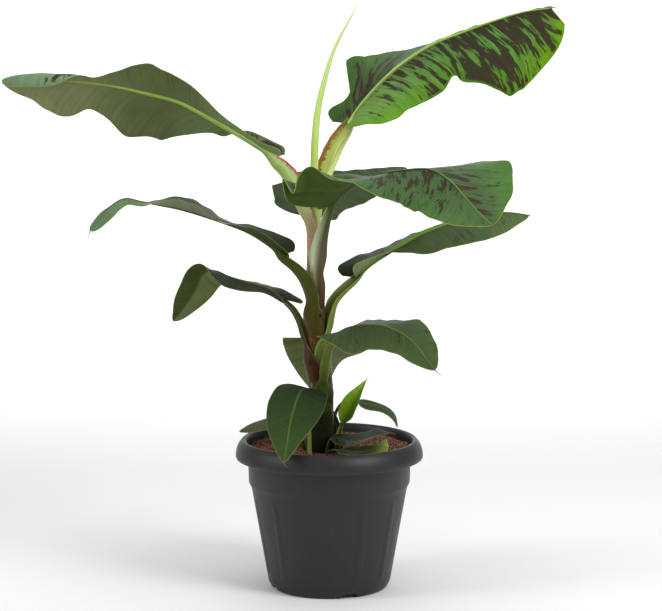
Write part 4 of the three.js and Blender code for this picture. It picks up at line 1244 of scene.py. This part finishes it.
def potMesh():
    # the profile turned round the axis: each rib moves the outer wall out, each notch lifts the foot's edge
    low, high = np.array(pot["foot"][-1]), np.array(pot["wall"][0])
    climb = np.linspace(0, 1, pot["wallRows"] + 1)[1:-1, None]
    outer = np.concatenate([pot["foot"][1:], low + (high - low) * climb, pot["wall"]])
    profile = np.concatenate([outer, pot["rim"], pot["inside"][:-1]])
    turn = potTurns()
    radius = np.repeat(profile[:, :1], len(turn), 1)
    height = np.repeat(profile[:, 1:], len(turn), 1)

    def angleFrom(places):
        # the angle to the nearest of the places
        gaps = np.abs(np.mod(turn[None] - np.radians(places)[:, None] + np.pi, 2 * np.pi) - np.pi)
        return gaps.min(0)

    isOuter = (np.arange(len(profile)) < len(outer))[:, None]
    arc = angleFrom(pot["ribAngles"])[None] * radius
    face = ease(pot["ribHalf"] + pot["ribSoft"], pot["ribHalf"] - pot["ribSoft"], arc)
    ends = ease(pot["ribFoot"], pot["ribFoot"] + 6, height) * ease(pot["ribHead"], pot["ribHead"] - 5, height)
    radius = radius + pot["ribProud"] * face * ends * isOuter
    inNotch = angleFrom(pot["notchAngles"])[None] * pot["notchRadius"] < pot["notchHalf"] + 0.1
    nearFoot = isOuter & (radius > pot["footInner"]) & (height < pot["notchHigh"])
    height = np.where(inNotch & nearFoot, pot["notchHigh"], height)
    rings = np.stack([radius * np.sin(turn), -radius * np.cos(turn), height], -1)
    points, faceSets = tube(rings[:, ::-1] * mm)
    points[-2:] = [[0, 0, 0], [0, 0, pot["inside"][-1][1] * mm]]
    return points, faceSets


# soil: a lumpy round sheet over a plain plug, with loose crumbs and fibres

soil = dict(
    level=217,
    radius=128.2,
    rings=110,
    around=300,
    seat=27,  # level within this radius of the stem
    heap=dict(x=98, y=-12, height=5, spread=30),
    bank=9,  # how much higher it lies against the pot's wall
    # radius and height of the plug's side, from the top down
    side=[(127.3, 209), (126.2, 172), (121.2, 164), (95.4, 16.3), (92.8, 9.3)],
    crumbs=2600,
    fibres=1100,
    dark=(0.04, 0.019, 0.014),
    warm=(0.50, 0.22, 0.14),
    straw=(0.34, 0.2, 0.11),
    strawShare=0.06,
)


def soilHeight(x, y):
    # gentle lumps, a low heap at the right and a fine roughness, all level at the stem's foot
    away = np.hypot(x - stem["path"][0][0], y - stem["path"][0][1])
    rough = ease(soil["seat"] - 8, soil["seat"] + 15, away)
    lumps = 1.6 * np.sin(x / 13 + 1) * np.cos(y / 11) + 1.1 * np.sin((x + y) / 7)
    heap = soil["heap"]
    mound = heap["height"] * np.exp(-((x - heap["x"]) ** 2 + (y - heap["y"]) ** 2) / heap["spread"] ** 2)
    fine = 0.9 * np.sin(x / 2.3 + 2 * np.sin(y / 4.1)) * np.sin(y / 2.9 + 1.7 * np.sin(x / 3.7))
    fine = fine + 0.6 * np.sin(x / 1.1 + y / 1.7) * np.sin(y / 1.3 - x / 2.1)
    bank = soil["bank"] * ease(25, 95, np.hypot(x, y))
    return soil["level"] + rough * (lumps + mound) + bank + fine


def soilMesh():
    # rings of the lumpy top from the middle out, then the plug's side down and its bottom
    share = np.linspace(0, 1, soil["rings"] + 1)[1:]
    turn = np.linspace(0, 2 * np.pi, soil["around"], endpoint=False)
    radius = (soil["radius"] * share)[:, None] + 0 * turn
    x, y = radius * np.cos(turn), radius * np.sin(turn)
    top = np.stack([x, y, soilHeight(x, y)], -1)
    away, high = np.array(soil["side"]).T[..., None]
    sides = np.stack([away * np.cos(turn), away * np.sin(turn), high + 0 * turn], -1)
    return tube(np.concatenate([top, sides])[::-1] * mm)


def scatter(count):
    # places on the soil, clear of the rim
    away = soil["radius"] * np.sqrt(random.random(count)) * 0.985
    turn = random.random(count) * 2 * np.pi
    x, y = away * np.cos(turn), away * np.sin(turn)
    return np.stack([x, y, soilHeight(x, y)], -1)


def coirPaint(count):
    # red-brown shades, a few of them pale as straw
    dark, warm = np.array(soil["dark"]), np.array(soil["warm"])
    colour = dark + (warm - dark) * random.random((count, 1)) ** 1.6
    isStraw = random.random((count, 1)) < soil["strawShare"]
    return np.where(isStraw, soil["straw"], colour)


def crumbMesh():
    # small octahedra, each stretched and turned at random, joined into one mesh
    count = soil["crumbs"]
    corner = np.array([(1, 0, 0), (0, 1, 0), (-1, 0, 0), (0, -1, 0), (0, 0, 1), (0, 0, -1)], float)
    face = np.array([(0, 1, 4), (1, 2, 4), (2, 3, 4), (3, 0, 4), (1, 0, 5), (2, 1, 5), (3, 2, 5), (0, 3, 5)])
    shape = corner[None] * (0.7 + 0.6 * random.random((count, 6, 1)))
    size = 0.6 + 2.1 * random.random((count, 1, 1)) ** 2.5
    shape = shape * size * (0.6 + 0.7 * random.random((count, 1, 3)))
    axes = unit(random.normal(size=(count, 3)))
    other = unit(np.cross(axes, random.normal(size=(count, 3))))
    basis = np.stack([axes, other, np.cross(axes, other)], 1)
    points = np.einsum("nij,njk->nik", shape, basis) + scatter(count)[:, None] + [0, 0, 0.5]
    faces = (face[None] + np.arange(count)[:, None, None] * 6).reshape(-1, 3)
    return points.reshape(-1, 3) * mm, [faces], {}, dict(paint=np.repeat(coirPaint(count), 6, 0))


def fibreMesh():
    # short bent threads: a three-sided ring carried along an arc that rises a little from the soil
    count, rows = soil["fibres"], 5
    heading = random.random(count) * 2 * np.pi
    bend = random.normal(size=count) * 0.9
    length = 4 + 11 * random.random(count) ** 1.5
    share = np.linspace(-0.5, 0.5, rows)
    turn = heading[:, None] + bend[:, None] * share
    stepXY = np.stack([np.cos(turn), np.sin(turn)], -1) * (length[:, None, None] / (rows - 1))
    flat = np.cumsum(stepXY, 1)
    lift = (0.25 - share**2) * 4 * (0.3 + 1.6 * random.random(count))[:, None]
    middle = scatter(count)[:, None] + np.concatenate([flat - flat[:, 2:3], lift[..., None]], -1)
    away = np.hypot(middle[..., 0], middle[..., 1])
    middle[..., :2] *= np.minimum(1, (soil["radius"] - 1.2) / away)[..., None]
    thick = (0.12 + 0.22 * random.random(count))[:, None, None, None]
    around = np.linspace(0, 2 * np.pi, 3, endpoint=False)
    across = np.stack([-np.sin(turn), np.cos(turn), 0 * turn], -1)
    ring = np.cos(around)[:, None] * across[:, :, None] + np.sin(around)[:, None] * zAxis
    points = (middle[:, :, None] + thick * ring).reshape(count, -1, 3)
    quads = gridFaces(rows, 3, True)[:, ::-1]
    ends = np.array([(0, 1, 2), (rows * 3 - 1, rows * 3 - 2, rows * 3 - 3)])
    each = np.arange(count)[:, None, None] * rows * 3
    faceSets = [(quads[None] + each).reshape(-1, 4), (ends[None] + each).reshape(-1, 3)]
    return points.reshape(-1, 3) * mm, faceSets, {}, dict(paint=np.repeat(coirPaint(count), rows * 3, 0))


# pieces

print("finishes")
bladeLook, stalkLook, potLook = bladeFinish(), stalkFinish(), potFinish()
soilLook, bitLook, rolledLook = soilFinish(), bitFinish(), rolledFinish()

print("pot and soil")
addPiece("potShell", potMesh(), potLook, ["pot"])
addPiece("soilTop", soilMesh(), soilLook, ["soil"])
addPiece("soilCrumbs", crumbMesh(), bitLook)
addPiece("soilFibres", fibreMesh(), bitLook)

print("stem and rolled leaf")
core = np.array(stem["radii"]) - along(stem["core"], np.linspace(0, 1, len(stem["radii"])))
coreMesh = limb(stem["path"], core, stem["colours"], 1, sides=40, step=3)
addPiece("stemCore", coreMesh, stalkLook, ["pseudostem"])

spear = dict(
    path=[
        (-24, 9, 598), (-24, 9, 630), (-24, 10, 675), (-22, 12, 729), (-17, 14, 771), (-8, 16, 809),
        (3, 18, 847), (17, 20, 879), (31, 21, 904), (40, 22, 921), (45, 22, 936),
    ],
    radii=[6.2, 6.3, 6.2, 6, 5.5, 4.8, 3.9, 2.8, 1.6, 0.5],
    colours=[
        (0.52, 0.72, 0.17), (0.55, 0.74, 0.18), (0.57, 0.75, 0.22), (0.56, 0.74, 0.26), (0.5, 0.66, 0.22),
    ],
    overlap=0.16,  # the roll's step, as a share of its radius
    edge=1.2,  # where its free edge starts, in radians
    wind=1.5,  # and how far it winds round
    soft=0.04,
)


def rolledSection(turn, share):
    # the radius steps out by the overlap where the roll's free edge lies, which winds slowly up the leaf
    edge = np.mod(turn - spear["edge"] - spear["wind"] * share, 2 * np.pi) / (2 * np.pi)
    return 1 + spear["overlap"] * (edge - 0.5) * ease(0, spear["soft"], edge)


spearMesh = limb(spear["path"], spear["radii"], spear["colours"], 2, sides=36, section=rolledSection)
addPiece("spearLeaf", spearMesh, rolledLook, ["spear_leaf"])

print("leaves")
threads = dict(radii=[1.0, 0.8, 0.45, 0.25], colours=[(0.16, 0.11, 0.04), (0.22, 0.16, 0.07)], sunk=3)
for number, leaf in enumerate(leaves):
    name = leaf["name"]
    leaf["seed"] = 10.0 * number + 3
    look = {**plainLook, **looks[name]}
    solids = sorted({f"blade_{name}", f"blade_{name}_base", f"blade_{name}_tip"} & set(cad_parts))
    slot = "young_leaf" if name in ("sucker_new", "soil_front") else "leaf"
    addPiece(f"blade.{name}", blade(leaf, look), bladeLook, solids)
    addPiece(f"stalk.{name}", stalk(leaf, look), stalkLook, [f"petiole_{name}"])
    if "thread" in look:
        before, tip = np.array(leaf["midrib"][-2:], float)
        path = [tip - unit(tip - before) * threads["sunk"], tip, *(tip + look["thread"])]
        made = limb(path, threads["radii"], threads["colours"], leaf["seed"], sides=6, step=1.2)
        addPiece(f"thread.{name}", made, stalkLook)

scars = [((-18, -9, 437), (8, 1, -3)), ((-14, -9, 440), (3, 0, -4)), ((-30, -8, 365), (2, 0, 10))]
for number, (middle, whole) in enumerate(scars):
    path = np.array(middle, float) + np.outer([-0.5, 0, 0.5], whole)
    made = limb(path, [0.8, 1.8, 0.8], [(0.010, 0.007, 0.005)], 3.0 + number, sides=8, step=0.8)
    addPiece(f"scar.{number}", made, stalkLook)

smallStalks = {
    "stub": dict(
        path=[(-31, -25, 210), (-31.5, -25, 235), (-31, -25, 262)], radii=[3.4, 3.2, 3.0, 2.2],
        colours=[(0.28, 0.34, 0.10), (0.22, 0.32, 0.09)],
    ),
    "sucker_stalk": dict(
        path=[(20, 26, 210), (17, 30, 245), (11, 28, 268), (3, 27, 284)], radii=[3, 2.8, 2.6, 1.4],
        colours=[(0.03, 0.03, 0.015), (0.05, 0.06, 0.02)],
    ),
}
for name, table in smallStalks.items():
    addPiece(f"stalk.{name}", limb(**table, seed=5, sides=14), stalkLook, [f"stalk_{name}"])


# floor, lights and camera

print("stage")
sweep = dict(front=-30.0, back=3.5, bend=1.6, high=5.0, half=30.0, steps=16)


def backdrop():
    # a flat floor that bends up through a quarter circle into a wall
    turn = np.linspace(0, np.pi / 2, sweep["steps"])
    y = np.r_[sweep["front"], sweep["back"] + sweep["bend"] * np.sin(turn), sweep["back"] + sweep["bend"]]
    z = np.r_[0, sweep["bend"] * (1 - np.cos(turn)), sweep["high"]]
    points = np.stack([np.stack([x + 0 * y, y, z], -1) for x in (-sweep["half"], sweep["half"])], 1)
    mesh = bpy.data.meshes.new("floor")
    mesh.from_pydata(points.reshape(-1, 3).tolist(), [], gridFaces(len(y), 2).tolist())
    mesh.polygons.foreach_set("use_smooth", np.ones(len(mesh.polygons), bool))
    f = Finish("paleFloor")
    mesh.materials.append(f.close((0.86, 0.86, 0.86, 1), 0.9, Specular_IOR_Level=0.1))
    floor = bpy.data.objects.new("floor", mesh)
    bpy.context.scene.collection.objects.link(floor)


def softLight(name, place, aim, size, power):
    # a rectangular lamp that faces its aim
    lamp = bpy.data.lights.new(name, "AREA")
    lamp.shape = "RECTANGLE"
    lamp.size, lamp.size_y = size
    lamp.energy = power
    made = bpy.data.objects.new(name, lamp)
    made.location = place
    made.rotation_euler = (Vector(aim) - Vector(place)).to_track_quat("-Z", "Y").to_euler()
    bpy.context.scene.collection.objects.link(made)


lights = [
    ("keyRight", (2.0, -1.7, 2.1), (0, 0, 0.5), (1.2, 1.5), 60),
    ("fillLeft", (-2.6, -0.9, 1.7), (0, 0, 0.5), (1.0, 1.6), 30),
    ("overhead", (0.2, 0.3, 2.9), (0, 0, 0.4), (2.2, 2.2), 26),
    ("backWash", (0, 2.6, 2.6), (0, 5.0, 1.0), (4.0, 2.0), 120),
]
view = dict(lens=129.6, sensor=36, place=(0.0027, -3.75, 0.98), down=7.97)  # millimetres, metres and degrees
backdrop()
for light in lights:
    softLight(*light)

world = bpy.data.worlds.new("studio")
world.use_nodes = True
world.node_tree.nodes["Background"].inputs["Color"].default_value = (1, 1, 1, 1)
world.node_tree.nodes["Background"].inputs["Strength"].default_value = 0.42
bpy.context.scene.world = world
bpy.context.scene.view_settings.view_transform = "Standard"

lens = bpy.data.cameras.new("camera")
lens.lens = view["lens"]
lens.sensor_width = view["sensor"]
eye = bpy.data.objects.new("camera", lens)
eye.location = view["place"]
eye.rotation_euler = (math.radians(90 - view["down"]), 0, 0)
bpy.context.scene.collection.objects.link(eye)
bpy.context.scene.camera = eye
